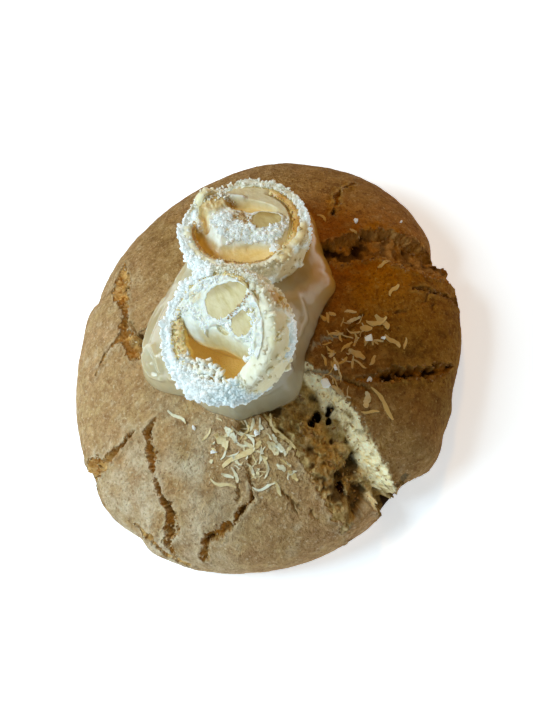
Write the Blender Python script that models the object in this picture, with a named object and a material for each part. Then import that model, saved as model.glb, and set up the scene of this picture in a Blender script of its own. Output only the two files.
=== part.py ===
"""A round, domed coconut cookie with a cracked crust and one deep split in its front edge.

On top lies a dollop of glossy cream, and in it sit the two halves of a cut coconut ball. Each
half is a coat of coconut round a thin wafer shell, with a white filling that has pulled away
from the shell, and a cut almond in the filling. Shreds of toasted coconut lie on the crust.

Lengths are in millimetres here and become metres as the meshes are made. +Z is up, the origin
is the middle of the base, and -Y is the side of the split.
"""

import math

import bmesh
import bpy
import numpy as np
from mathutils import Matrix, Vector, noise
from mathutils.bvhtree import BVHTree

MM = 0.001
GAP = 0.3  # between pieces that touch

# The crust: a dome on a rounded edge.
HEIGHT = 29.0
SHOULDER = 8.5  # height of the widest ring
FOOT = 0.94  # radius of the base over the widest radius
CROWN_FULLNESS = 0.92  # under 1 makes the dome fuller than an ellipse
CROWN_DROP = 1.05  # over 1 makes the dome fall a little sooner
FOOT_ROUNDING = 0.9  # under 1 brings the foot in sooner
MIDDLE_RADIUS = 50.0  # about the mean of the radii below
# Widest radius at even steps round the cookie, from +X towards +Y.
PLAN_RADII = (
    48.1, 50.5, 52.2, 52.8, 53.3, 51.7, 50.1, 48.5, 47.3, 46.6, 46.3, 47.1,
    48.7, 50.8, 52.8, 53.1, 52.3, 51.3, 49.8, 47.6, 49.9, 46.4, 47.1, 47.7,
)
LUMP_HEIGHT = 0.45  # broad unevenness of the crust
LUMP_SPACING = 17.0
LUMP_END = 0.85  # reach at which the unevenness has died away
BASE_REACH = 0.995  # what lies beyond is the flat base
CRUST_CELLS = 150  # cells across the disc before it is thinned out
CRUST_KEEP = 0.088  # share of the faces that is kept

CRACK_JAG = 0.35  # unevenness of the cracks' edges
CRACK_JAG_SPACING = 2.6
# Cracks run outwards. The course is (bearing in degrees, reach), where reach is 0 at the top of
# the crust and 1 at its base. The steep wall is on the side of larger bearings. Depths are
# evenly spaced along the course.
CRACKS = {
    "split": {
        "course": (
            (281, 0.33), (279, 0.44), (280.5, 0.53), (279, 0.61),
            (278, 0.71), (277.5, 0.82), (277, 0.93), (277, 0.99),
        ),
        "steep": 4.2,
        "gentle": 11.5,
        "depths": (4.0, 8.0, 8.6, 8.0, 6.8, 4.8, 3.4, 2.0),
    },
    "upper_right": {
        "course": ((13, 0.35), (8, 0.45), (6, 0.56), (1, 0.65), (357, 0.76), (355.5, 0.86), (355, 0.94)),
        "steep": 1.3,
        "gentle": 5.5,
        "depths": (1.6, 2.8, 3.3, 3.2, 2.6, 1.8, 0.8),
    },
    "right": {
        "course": ((299, 0.46), (303.5, 0.51), (308, 0.575), (311.5, 0.65), (315.5, 0.73), (320, 0.80)),
        "steep": 1.4,
        "gentle": 1.9,
        "depths": (0.6, 1.6, 2.6, 2.6, 2.0, 0.8),
    },
    "upper_left": {
        "course": ((118, 0.62), (128, 0.55), (140, 0.475), (152, 0.465), (161, 0.40), (163, 0.36)),
        "steep": 1.6,
        "gentle": 1.8,
        "depths": (0.8, 1.8, 2.0, 2.0, 2.4, 1.4),
    },
    "left_tail": {
        "course": ((154, 0.47), (156, 0.525), (165, 0.605)),
        "steep": 0.9,
        "gentle": 0.9,
        "depths": (1.0, 0.8, 0.3),
    },
    "left_lower": {
        "course": (
            (197, 0.51), (196, 0.58), (195, 0.64), (193, 0.71), (191, 0.78), (190, 0.88), (190, 0.95),
        ),
        "steep": 1.4,
        "gentle": 2.2,
        "depths": (0.8, 1.8, 2.6, 2.8, 2.4, 1.8, 0.8),
    },
    "long_lower": {
        "course": (
            (202, 0.42), (202, 0.468), (207, 0.506), (212, 0.56), (217, 0.61),
            (221, 0.645), (222, 0.69), (221.5, 0.76), (224, 0.82),
        ),
        "steep": 1.3,
        "gentle": 1.3,
        "depths": (0.8, 2.0, 2.3, 2.2, 1.8, 2.4, 2.4, 1.6, 0.6),
    },
    "lower": {
        "course": (
            (246, 0.55), (246, 0.60), (242, 0.625), (240, 0.665), (236, 0.69), (232, 0.715), (231, 0.79),
        ),
        "steep": 1.1,
        "gentle": 1.3,
        "depths": (0.6, 1.6, 1.8, 1.8, 2.0, 2.0, 1.0),
    },
    "rim": {
        "course": ((211, 0.77), (216, 0.77), (220, 0.81), (226, 0.84)),
        "steep": 1.1,
        "gentle": 1.1,
        "depths": (0.4, 1.1, 1.1, 0.4),
    },
    "top": {
        "course": ((24, 0.49), (27, 0.545), (30, 0.61), (29, 0.69)),
        "steep": 0.9,
        "gentle": 0.9,
        "depths": (0.3, 0.8, 0.8, 0.3),
    },
    "right_fine": {
        "course": ((341, 0.62), (341.5, 0.68), (340.5, 0.74), (341, 0.83), (341, 0.92)),
        "steep": 1.0,
        "gentle": 1.4,
        "depths": (0.3, 0.6, 0.7, 1.2, 0.6),
    },
}
# Holes in the crumb: bearing, reach, radius and depth.
PITS = (
    (277, 0.45, 2.4, 2.6),
    (281, 0.49, 2.0, 2.2),
    (271, 0.70, 1.8, 1.6),
    (161, 0.37, 2.8, 2.4),
    (246, 0.385, 2.2, 2.2),
)

# The cream: a dollop with an even spacing of radii round its own middle.
CREAM_MIDDLE = (2.0, -2.0)
CREAM_RADII = (
    20.6, 21.5, 24.1, 29.0, 33.0, 32.6, 29.4, 26.3, 23.4, 21.2, 20.8, 21.4, 21.6, 22.5, 24.3, 26.1,
    26.9, 25.2, 23.0, 22.8, 23.4, 24.1, 23.4, 23.2, 22.6, 19.3, 16.6, 15.5, 15.4, 15.9, 17.0, 20.0,
)
CREAM_DROP = 4.0  # from the middle of a half down to the cream beside it
CREAM_SLOPE = 0.55
CREAM_CORE = 9.0  # the cream falls away beyond this distance from a half's middle
CREAM_BLEND = 1.4  # how softly the two hills meet
CREAM_THINNEST = 1.6
CREAM_EDGE = 0.25  # thickness of its very edge
CREAM_ROUNDING = 7  # a high power keeps the cream full to its edge

# The halves of the ball.
COAT_INSIDE = 12.2
WAFER_OUTSIDE = 11.9
WAFER_INSIDE = 10.9
FILLING_RADIUS = 10.5
BALL_CUTTER = 14.6  # what a half takes out of the cream
FLAKE_RELIEF = 0.55  # how far coconut stands out of the coat
SEAT_DEPTH = 2.0  # hollow that the rear half pressed into the crust
SEAT_RADIUS = 13.0
ACROSS = Vector((0.866, -0.433, -0.25))  # roughly each half's own +X
FILLING_DROP = 0.5  # from the cut face down to the filling
FILLING_WAVES = 0.35
FILLING_FREE = 9.8  # where the filling reaches less far than this its side slopes down
# Per half: middle of its ball, normal of its cut face and the face's height over the middle, then
# values at even steps round the face: radius of the coat, heights of the rims over the face, and
# how far out the filling reaches. Places on the face are in the half's own X and Y.
HALVES = {
    "front": {
        "middle": (-3.9, -14.4, 46.9),
        "normal": (-0.488, -0.169, 0.856),
        "cut": 2.5,
        "coat": (13.9, 13.3, 13.0, 13.3, 14.2, 14.5, 14.2, 14.0),
        "rim": (
            0.2, 0.4, -0.3, -0.6, -0.5, -0.8, -0.5, 0.3, 0.6, 0.2, -0.2, 0.0, -0.4, 0.4, 0.7, 0.4,
        ),
        "wafer": (
            -0.2, -0.4, -0.3, -0.3, -0.4, -0.6, -0.4, -0.5, -0.5, -0.8, -1.8, -2.6, -2.8, -2.0, -1.0, -0.4,
        ),
        "filling": (
            10.1, 10.1, 10.1, 10.1, 10.1, 10.1, 10.1, 10.0, 9.6, 8.6, 7.4, 6.7, 6.6, 7.4, 8.6, 9.8,
        ),
        "dips": (),
        "almonds": {
            "almond": {"at": (2.3, 6.2), "size": (4.9, 3.0, 3.0), "turn": 24.0, "top": 0.4},
            "almond_piece": {"at": (6.0, 1.6), "size": (3.5, 1.9, 2.2), "turn": 38.0, "top": 0.1},
        },
    },
    "rear": {
        "middle": (10.5, 9.1, 41.4),
        "normal": (0.21, 0.121, 0.97),
        "cut": 2.0,
        "coat": (14.2, 14.2, 14.2, 14.2, 14.5, 14.1, 13.6, 14.1),
        "rim": (
            0.0, 0.2, 0.0, 0.3, 0.4, -1.6, 2.4, -2.8, 0.3, 0.1, -0.2, 0.0, -0.5, -0.7, 0.2, 0.2,
        ),
        "wafer": (
            -0.3, -0.2, -0.3, -0.3, -0.4, -0.9, 0.4, -2.4, -0.5, -0.4, -0.5, -0.4, -0.5, -0.8, -0.4, -0.3,
        ),
        "filling": (
            10.1, 10.1, 10.1, 10.1, 10.1, 10.1, 10.0, 9.2, 7.4, 6.8, 6.7, 6.5, 6.9, 8.6, 9.8, 10.1,
        ),
        "dips": (((1.0, 6.4), (5.6, 2.0), -22.0, 2.6), ((-7.0, 3.6), (1.8, 1.2), 40.0, 2.0)),
        "almonds": {
            "almond": {"at": (4.7, 0.0), "size": (3.7, 2.3, 2.4), "turn": 4.0, "top": 0.3},
        },
    },
}

# Shreds of coconut on the crust: start, end, width and sideways bow.
SHREDS = (
    (-4.6, -24.6, -3.6, -33.5, 0.9, -1.3),
    (-9.1, -28.6, -18.9, -28.6, 1.4, 0.3),
    (-14.4, -22.0, -13.8, -26.0, 1.5, 0.3),
    (-17.2, -20.6, -20.1, -21.8, 0.6, 0.3),
    (-16.8, -22.4, -16.4, -26.4, 1.8, 0.5),
    (-8.0, -29.7, -7.4, -33.0, 1.5, 0.3),
    (-6.3, -30.4, -6.1, -33.6, 0.8, 0.2),
    (-22.4, -29.2, -18.5, -33.6, 0.8, -0.5),
    (-15.5, -35.3, -10.9, -37.0, 0.7, -0.8),
    (-10.9, -36.6, -11.1, -39.6, 0.7, 0.2),
    (-23.7, -11.6, -21.5, -16.6, 0.7, 0.3),
    (-17.2, -30.0, -17.7, -33.2, 0.7, 0.2),
    (-19.8, -29.8, -17.9, -31.9, 0.7, 0.1),
    (-14.0, -31.0, -13.8, -33.9, 0.7, 0.2),
    (-10.7, -31.0, -11.1, -34.7, 0.6, 0.6),
    (-7.1, -36.5, -6.5, -38.9, 1.0, 0.1),
    (-8.6, -34.1, -7.8, -36.1, 1.0, 0.1),
    (23.2, -16.4, 27.6, -17.2, 1.2, -0.8),
    (25.7, -15.9, 26.5, -19.8, 1.3, 0.5),
    (21.3, -17.0, 23.6, -18.1, 1.2, 0.1),
    (25.2, -20.5, 26.7, -24.0, 1.1, 0.2),
    (29.0, -22.4, 27.3, -24.5, 0.6, 0.1),
    (19.6, -14.6, 22.8, -14.6, 0.8, 0.2),
    (14.6, -15.4, 17.6, -16.4, 0.8, 0.2),
    (15.1, -20.0, 18.3, -19.0, 0.7, 0.3),
    (16.7, -20.5, 18.6, -23.8, 1.4, 0.3),
    (21.0, -23.7, 18.9, -25.2, 0.8, 0.2),
    (15.6, -21.6, 13.3, -22.3, 0.7, 0.3),
    (9.6, -25.8, 10.7, -28.8, 1.0, 0.2),
    (15.3, -30.2, 13.5, -33.0, 1.3, 0.1),
    (16.6, -29.9, 17.1, -37.3, 0.8, 0.6),
    (12.1, -33.1, 15.5, -34.7, 0.6, 0.1),
    (32.2, -5.1, 35.6, -4.2, 0.9, 0.2),
    (30.9, -12.6, 34.1, -10.7, 0.9, 0.3),
)
# Thicker chips of coconut: middle, length, width and heading in degrees.
CHIPS = (
    (21.7, -19.9, 2.3, 1.7, 10.0),
    (8.9, -24.9, 2.7, 2.1, -30.0),
    (17.2, -27.8, 1.8, 1.2, 30.0),
    (-18.9, -25.2, 1.6, 1.3, 20.0),
    (-9.0, -26.9, 1.6, 1.2, 70.0),
    (-20.2, -18.4, 1.2, 1.0, 50.0),
    (34.3, 9.0, 1.4, 1.1, 20.0),
    (44.1, 6.3, 1.2, 0.9, 0.0),
)
SHRED_THICKNESS = 0.8
CHIP_THICKNESS = 1.5
ABOVE = 80.0  # height from which coconut is laid down on the crust

COLOURS = {
    "cookie": (0.42, 0.25, 0.11),
    "cream": (0.74, 0.66, 0.50),
    "coating": (0.84, 0.87, 0.85),
    "wafer": (0.60, 0.38, 0.13),
    "filling": (0.82, 0.80, 0.70),
    "almond": (0.74, 0.66, 0.42),
}
ROUGHNESS = {
    "cookie": 0.75,
    "cream": 0.25,
    "coating": 0.8,
    "wafer": 0.5,
    "filling": 0.45,
    "almond": 0.4,
}


def smooth(x):
    """0 below 0, 1 above 1, and an S-curve between."""
    x = np.clip(x, 0.0, 1.0)
    return x * x * (3.0 - 2.0 * x)


def ring_curve(values, turn):
    """A closed smooth curve through evenly spaced values, read at turn, in whole turns."""
    values = np.asarray(values, float)
    count = len(values)
    at = np.asarray(turn) % 1.0 * count
    index = np.floor(at).astype(int)
    f = at - index
    a, b, c, d = (values[(index + step) % count] for step in (-1, 0, 1, 2))
    return b + 0.5 * f * (c - a + f * (2 * a - 5 * b + 4 * c - d + f * (3 * (b - c) + d - a)))


def ripple(points, spacing, seed=0.0):
    """Smooth noise from about -1 to 1 at each point."""
    scaled = np.asarray(points, float) / spacing + seed
    return np.array([noise.noise(Vector(point)) for point in scaled])


def profile_curve():
    """Reach, share of the widest radius, and height, from the top of the crust to its base."""
    top = np.linspace(0.0, math.pi / 2, 120)
    side = np.linspace(0.0, math.pi / 2, 60)[1:]
    share = np.concatenate([np.sin(top) ** CROWN_FULLNESS, FOOT + (1 - FOOT) * np.cos(side)])
    dome = SHOULDER + (HEIGHT - SHOULDER) * np.cos(top) ** CROWN_DROP
    height = np.concatenate([dome, SHOULDER * (1 - np.sin(side) ** FOOT_ROUNDING)])
    steps = np.hypot(np.diff(share) * MIDDLE_RADIUS, np.diff(height))
    reach = np.concatenate([[0.0], np.cumsum(steps)])
    return reach / reach[-1], share, height


REACH, SHARE, LEVEL = profile_curve()
WIDEST = int(np.argmax(SHARE))


def lumps(x, y, reach):
    """Broad unevenness, with the seat of the rear half pressed in."""
    flat = np.stack([x, y, np.zeros_like(x)], axis=-1)
    rise = LUMP_HEIGHT * ripple(flat, LUMP_SPACING, 3.7) * smooth((LUMP_END - reach) / 0.25)
    seat = HALVES["rear"]["middle"]
    distance = np.hypot(x - seat[0], y - seat[1])
    return rise - SEAT_DEPTH * smooth((SEAT_RADIUS - distance) / 10.0)


def crust(bearing, reach):
    """Points of the crust before it cracks, one row each. Bearing is in radians."""
    radius = ring_curve(PLAN_RADII, bearing / math.tau) * np.interp(reach, REACH, SHARE)
    x = radius * np.cos(bearing)
    y = radius * np.sin(bearing)
    z = np.interp(reach, REACH, LEVEL) + lumps(x, y, reach)
    return np.stack([x, y, z], axis=-1)


def crust_normal(bearing, reach):
    """Outward directions of the crust before it cracks."""
    reach = np.clip(reach, 0.01, 0.99)
    step = 0.004
    along = crust(bearing, reach + step) - crust(bearing, reach - step)
    round_it = crust(bearing + step, reach) - crust(bearing - step, reach)
    normal = np.cross(along, round_it)
    return normal / np.linalg.norm(normal, axis=-1, keepdims=True)


def crust_height(x, y):
    """Height of the uncracked crust over a plan position inside its widest ring."""
    widest = ring_curve(PLAN_RADII, np.arctan2(y, x) / math.tau)
    share = np.clip(np.hypot(x, y) / widest, 0.0, 1.0)
    reach = np.interp(share, SHARE[: WIDEST + 1], REACH[: WIDEST + 1])
    return np.interp(reach, REACH, LEVEL) + lumps(x, y, reach)


def crack_depth(points, crack, jag):
    """How far one crack lowers the crust at each point. jag shifts its edges."""
    course = np.array(crack["course"], float)
    line = crust(np.radians(course[:, 0]), course[:, 1])
    nearest = np.full(len(points), 1e9)
    side = np.zeros(len(points))
    along = np.zeros(len(points))
    for index in range(len(line) - 1):
        start, run = line[index], line[index + 1] - line[index]
        share = np.clip((points - start) @ run / (run @ run), 0.0, 1.0)
        offset = points - start - share[:, None] * run
        distance = np.linalg.norm(offset, axis=1)
        closer = distance < nearest
        nearest[closer] = distance[closer]
        side[closer] = (run[0] * offset[:, 1] - run[1] * offset[:, 0])[closer]
        along[closer] = ((index + share) / (len(line) - 1))[closer]
    depth = np.interp(along, np.linspace(0, 1, len(crack["depths"])), crack["depths"])
    steep = crack["steep"] * (0.4 + 0.6 * depth / max(crack["depths"]))
    width = np.where(side > 0, steep, crack["gentle"])
    nearest = np.maximum(nearest + jag, 0.0)
    return depth * smooth(1.0 - nearest / width)


def relief(points):
    """How far the crust is lowered by its cracks and pits."""
    depth = np.zeros(len(points))
    jag = CRACK_JAG * ripple(points, CRACK_JAG_SPACING, 9.4)
    for crack in CRACKS.values():
        depth = np.maximum(depth, crack_depth(points, crack, jag))
    for bearing, reach, radius, deep in PITS:
        middle = crust(np.radians([bearing]), np.array([reach]))[0]
        distance = np.linalg.norm(points - middle, axis=1)
        depth += deep * smooth(1.0 - distance / radius)
    return depth


def disc_grid(cells):
    """Bearing and reach over a disc that is made by bending a square grid of cells."""
    u, v = np.meshgrid(np.linspace(-1, 1, cells + 1), np.linspace(-1, 1, cells + 1), indexing="ij")
    reach = np.maximum(np.abs(u), np.abs(v))
    flat = np.where(reach > 0, reach, 1.0)
    turn = np.where(np.abs(u) >= np.abs(v), v / flat, 2.0 - u / flat) * math.pi / 4
    turn = np.where((np.abs(u) >= np.abs(v)) & (u < 0), math.pi - v / flat * math.pi / 4, turn)
    turn = np.where((np.abs(u) < np.abs(v)) & (v < 0), -math.pi / 2 + u / flat * math.pi / 4, turn)
    return turn.ravel(), reach.ravel()


def material(kind):
    """The finish of one kind of piece, made once."""
    found = bpy.data.materials.get(kind)
    if found:
        return found
    made = bpy.data.materials.new(kind)
    made.use_nodes = True
    shader = made.node_tree.nodes["Principled BSDF"]
    shader.inputs["Base Color"].default_value = (*COLOURS[kind], 1.0)
    shader.inputs["Roughness"].default_value = ROUGHNESS[kind]
    shader.inputs["Metallic"].default_value = 0.0
    return made


def add_object(name, kind, points, faces, placed=Matrix.Identity(4)):
    """An object from points in millimetres, in its own frame."""
    mesh = bpy.data.meshes.new(name)
    scaled = [tuple(MM * float(value) for value in point) for point in points]
    mesh.from_pydata(scaled, [], [tuple(int(corner) for corner in face) for face in faces])
    mesh.validate()
    mesh.shade_smooth()
    mesh.materials.append(material(kind))
    made = bpy.data.objects.new(name, mesh)
    made.matrix_world = placed
    bpy.context.scene.collection.objects.link(made)
    return made


def apply_modifiers(obj):
    """Replaces an object's mesh by the one its modifiers make."""
    bpy.context.view_layer.update()
    graph = bpy.context.evaluated_depsgraph_get()
    mesh = bpy.data.meshes.new_from_object(obj.evaluated_get(graph))
    obj.modifiers.clear()
    obj.data = mesh


def combine(obj, others, operation, solver="EXACT"):
    """One Boolean of an object with a list of others, which are then removed."""
    group = bpy.data.collections.new(obj.name + "_operands")
    for other in others:
        group.objects.link(other)
    step = obj.modifiers.new(operation.lower(), "BOOLEAN")
    step.operation = operation
    step.solver = solver
    step.operand_type = "COLLECTION"
    step.collection = group
    apply_modifiers(obj)
    for other in others:
        bpy.data.objects.remove(other)
    bpy.data.collections.remove(group)


def drop_scraps(obj):
    """Keeps the largest body of a mesh and drops any loose scrap beside it."""
    shape = bmesh.new()
    shape.from_mesh(obj.data)
    unseen = set(shape.verts)
    bodies = []
    while unseen:
        body = {unseen.pop()}
        ahead = list(body)
        while ahead:
            for edge in ahead.pop().link_edges:
                for vertex in edge.verts:
                    if vertex in unseen:
                        unseen.remove(vertex)
                        body.add(vertex)
                        ahead.append(vertex)
        bodies.append(body)
    bodies.sort(key=len)
    scraps = [vertex for body in bodies[:-1] for vertex in body]
    bmesh.ops.delete(shape, geom=scraps, context="VERTS")
    shape.to_mesh(obj.data)
    shape.free()


def grid_faces(rows, columns, start=0, flip=False):
    """Quads of a grid whose columns close on themselves."""
    faces = []
    for row in range(rows - 1):
        for column in range(columns):
            following = (column + 1) % columns
            quad = [
                start + row * columns + column,
                start + row * columns + following,
                start + (row + 1) * columns + following,
                start + (row + 1) * columns + column,
            ]
            faces.append(quad[::-1] if flip else quad)
    return faces


def strip(start, end, width, bow, surface):
    """Points and faces of a shred that lies along the crust, as a flat bar of three lengths."""
    start, end = np.array(start), np.array(end)
    run = end - start
    aside = np.array([-run[1], run[0]]) / np.linalg.norm(run)
    points = []
    for share in np.linspace(0, 1, 4):
        narrow = 0.45 if share in (0.0, 1.0) else 1.0
        middle = start + run * share + aside * bow * 4 * share * (1 - share)
        hit, normal, _, _ = surface.ray_cast(Vector((*middle, ABOVE)), Vector((0, 0, -1)))
        across = Vector((*aside, 0.0))
        across = (across - across.dot(normal) * normal).normalized() * width * narrow / 2
        for lift, way in ((-0.5, -1), (-0.5, 1), (0.5, 1), (0.5, -1)):
            rise = normal * (SHRED_THICKNESS * (lift + 0.1))
            points.append(hit + rise + across * way * (1.0 if lift < 0 else 0.8))
    faces = grid_faces(4, 4) + [(3, 2, 1, 0), (12, 13, 14, 15)]
    return points, faces


def chip(x, y, length, width, heading, surface):
    """Points and faces of a thick chip of coconut, an uneven block with a smaller top."""
    hit, normal, _, _ = surface.ray_cast(Vector((x, y, ABOVE)), Vector((0, 0, -1)))
    heading = math.radians(heading)
    along = Vector((math.cos(heading), math.sin(heading), 0.0))
    along = (along - along.dot(normal) * normal).normalized()
    aside = normal.cross(along)
    corners = ((-1.0, -0.7), (0.6, -1.0), (1.0, 0.5), (-0.5, 1.0))
    points = []
    for lift, spread in ((-0.45, 1.0), (0.35, 1.05), (0.55, 0.65)):
        for ahead, across in corners:
            side = along * (ahead * spread * length / 2) + aside * (across * spread * width / 2)
            points.append(hit + side + normal * (CHIP_THICKNESS * lift))
    faces = grid_faces(3, 4) + [(3, 2, 1, 0), (8, 9, 10, 11)]
    return points, faces


def make_cookie():
    """The crust with its cracks, thinned out, with the coconut on it fused on."""
    bearing, reach = disc_grid(CRUST_CELLS)
    points = crust(bearing, reach)
    points[reach > BASE_REACH, 2] = 0.0
    lowered = relief(points) * smooth((BASE_REACH - reach) / 0.04)
    points -= crust_normal(bearing, reach) * lowered[:, None]
    side = CRUST_CELLS + 1
    corner = np.arange(side * side).reshape(side, side)
    quads = np.stack([corner[:-1, :-1], corner[1:, :-1], corner[1:, 1:], corner[:-1, 1:]], axis=-1)
    edge = np.concatenate([corner[0, :-1], corner[:-1, -1], corner[-1, :0:-1], corner[:0:-1, 0]])
    faces = quads.reshape(-1, 4).tolist() + [edge.tolist()]
    cookie = add_object("cookie", "cookie", points, faces)
    thin = cookie.modifiers.new("thin", "DECIMATE")
    thin.ratio = CRUST_KEEP
    apply_modifiers(cookie)
    corners = [vertex.co / MM for vertex in cookie.data.vertices]
    polygons = [tuple(polygon.vertices) for polygon in cookie.data.polygons]
    surface = BVHTree.FromPolygons(corners, polygons)
    pieces = []
    for x0, y0, x1, y1, width, bow in SHREDS:
        shape = strip((x0, y0), (x1, y1), width, bow, surface)
        pieces.append(add_object("shred", "filling", *shape))
    for placed in CHIPS:
        pieces.append(add_object("chip", "filling", *chip(*placed, surface)))
    combine(cookie, pieces, "UNION")
    drop_scraps(cookie)


def cream_top(x, y):
    """Height of the cream's hills, which climb to the two halves."""
    hills = []
    for half in HALVES.values():
        distance = np.hypot(x - half["middle"][0], y - half["middle"][1])
        fall = CREAM_SLOPE * np.maximum(distance - CREAM_CORE, 0.0)
        hills.append(half["middle"][2] - CREAM_DROP - fall)
    return CREAM_BLEND * np.logaddexp(hills[0] / CREAM_BLEND, hills[1] / CREAM_BLEND)


def make_cream():
    """The dollop, resting on the crust and cut away under the two halves."""
    columns = 56
    top_rings = (0.0, 0.2, 0.4, 0.58, 0.72, 0.83, 0.9, 0.95, 0.98, 1.0)
    base_rings = (0.97, 0.86, 0.72, 0.58, 0.44, 0.3, 0.15, 0.0)
    turn = np.arange(columns) / columns
    outline = ring_curve(CREAM_RADII, turn)
    points = []
    for row, share in enumerate(top_rings + base_rings):
        x = CREAM_MIDDLE[0] + outline * share * np.cos(turn * math.tau)
        y = CREAM_MIDDLE[1] + outline * share * np.sin(turn * math.tau)
        base = crust_height(x, y) + GAP
        if row < len(top_rings):
            thick = np.maximum(cream_top(x, y) - base, CREAM_THINNEST)
            base = base + CREAM_EDGE + thick * math.sqrt(1 - share**CREAM_ROUNDING)
        points.append(np.stack([x, y, base], axis=-1))
    points = np.concatenate(points)
    last = len(points) - columns
    inner = slice(columns, last)
    points = np.concatenate([points[:1], points[inner], points[-1:]])
    rows = len(top_rings) + len(base_rings) - 2
    faces = [face[::-1] for face in grid_faces(rows, columns, start=1)]
    end = len(points) - 1
    for column in range(columns):
        following = (column + 1) % columns
        faces.append((0, 1 + column, 1 + following))
        faces.append((end, end - columns + following, end - columns + column))
    cream = add_object("cream", "cream", points, faces)
    cutters = []
    for half in HALVES.values():
        ball = bpy.data.meshes.new("ball")
        ball_object = bpy.data.objects.new("ball", ball)
        bpy.context.scene.collection.objects.link(ball_object)
        fill_ball(ball, BALL_CUTTER * MM)
        ball_object.matrix_world = half_frame(half)
        ball_object.hide_render = True
        ball_object.display_type = "WIRE"
        cutters.append(ball_object)
    combine(cream, cutters, "DIFFERENCE")
    return cream


def fill_ball(mesh, radius):
    """Makes a mesh a ball of flat faces."""
    shape = bmesh.new()
    bmesh.ops.create_uvsphere(shape, u_segments=28, v_segments=16, radius=radius)
    shape.to_mesh(mesh)
    shape.free()


def half_frame(half):
    """Where a half lies: its own +Z is the normal of its cut face."""
    normal = Vector(half["normal"]).normalized()
    across = (ACROSS - ACROSS.dot(normal) * normal).normalized()
    turned = Matrix((across, normal.cross(across), normal)).transposed().to_4x4()
    return Matrix.Translation(Vector(half["middle"]) * MM) @ turned


def make_shell(name, kind, half, outside, inside, rim, relief_height, columns, rows):
    """A half shell with an uneven rim. outside gives radii round the shell, inside is one radius."""
    turn = np.arange(columns) / columns
    azimuth = turn * math.tau
    jag = ripple(np.stack([np.cos(azimuth), np.sin(azimuth), 0 * azimuth], -1), 0.16, 8.1)
    height = half["cut"] + ring_curve(rim, turn) + jag * relief_height
    wall = ring_curve(outside, turn)
    rings = []
    for layer in (wall, np.full(columns, float(inside))):
        top = np.arcsin(np.clip(height / layer, -0.9, 0.9))
        shares = np.linspace(0.0, 1.0, rows + 1)[1:]
        for share in shares if layer is wall else shares[::-1]:
            lean = -math.pi / 2 + (math.pi / 2 + top) * share
            radius = layer * np.sqrt(share) + layer.mean() * (1 - np.sqrt(share))
            level = np.cos(lean)
            ring = np.stack([np.cos(azimuth) * level, np.sin(azimuth) * level, np.sin(lean)], -1)
            if layer is wall:
                radius = radius + relief_height * ripple(ring * radius[:, None], 1.9, 5.3)
            rings.append(ring * radius[:, None])
    bottom = np.array([[0.0, 0.0, -np.mean(outside)]])
    floor = np.array([[0.0, 0.0, -float(inside)]])
    points = np.concatenate([bottom] + rings + [floor])
    faces = grid_faces(len(rings), columns, start=1)
    end = len(points) - 1
    for column in range(columns):
        following = (column + 1) % columns
        faces.append((0, 1 + following, 1 + column))
        faces.append((end, end - columns + column, end - columns + following))
    return add_object(name, kind, points, faces, half_frame(half))


def filling_floor(radius):
    """Height of the inside of the wafer under a distance from the ball's axis."""
    return -np.sqrt(np.maximum(FILLING_RADIUS**2 - radius**2, 0.0))


def filling_top(x, y, share, limit, half):
    """Height of the filling: level with the cut face, and sloping down where its side is free."""
    top = half["cut"] - FILLING_DROP + FILLING_WAVES * ripple(np.stack([x, y, 0 * x], -1), 3.0, 1.3)
    for (dip_x, dip_y), (long, short), heading, deep in half["dips"]:
        heading = math.radians(heading)
        along = (x - dip_x) * math.cos(heading) + (y - dip_y) * math.sin(heading)
        aside = (y - dip_y) * math.cos(heading) - (x - dip_x) * math.sin(heading)
        top = top - deep * np.exp(-((along / long) ** 2) - (aside / short) ** 2)
    edge = filling_floor(limit) + 0.5
    free = smooth((FILLING_FREE - limit) / 0.8)
    return top + (edge - top) * free * smooth((share - 0.6) / 0.4)


def make_filling(name, half):
    """The filling, which has pulled away from one side of the wafer."""
    columns, rings = 28, 6
    turn = np.arange(columns) / columns
    limit = ring_curve(half["filling"], turn)
    shares = np.linspace(0, 1, rings + 1)[1:]
    points = [np.array([[0.0, 0.0, half["cut"] - FILLING_DROP]])]
    for share, upper in [(share, True) for share in shares] + [(share, False) for share in shares[::-1]]:
        x = limit * share * np.cos(turn * math.tau)
        y = limit * share * np.sin(turn * math.tau)
        level = filling_top(x, y, share, limit, half) if upper else filling_floor(limit * share)
        points.append(np.stack([x, y, level], -1))
    points.append(np.array([[0.0, 0.0, -FILLING_RADIUS]]))
    points = np.concatenate(points)
    end = len(points) - 1
    faces = [face[::-1] for face in grid_faces(2 * rings, columns, start=1)]
    for column in range(columns):
        following = (column + 1) % columns
        faces.append((0, 1 + column, 1 + following))
        faces.append((end, end - columns + following, end - columns + column))
    return add_object(name, "filling", points, faces, half_frame(half))


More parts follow.
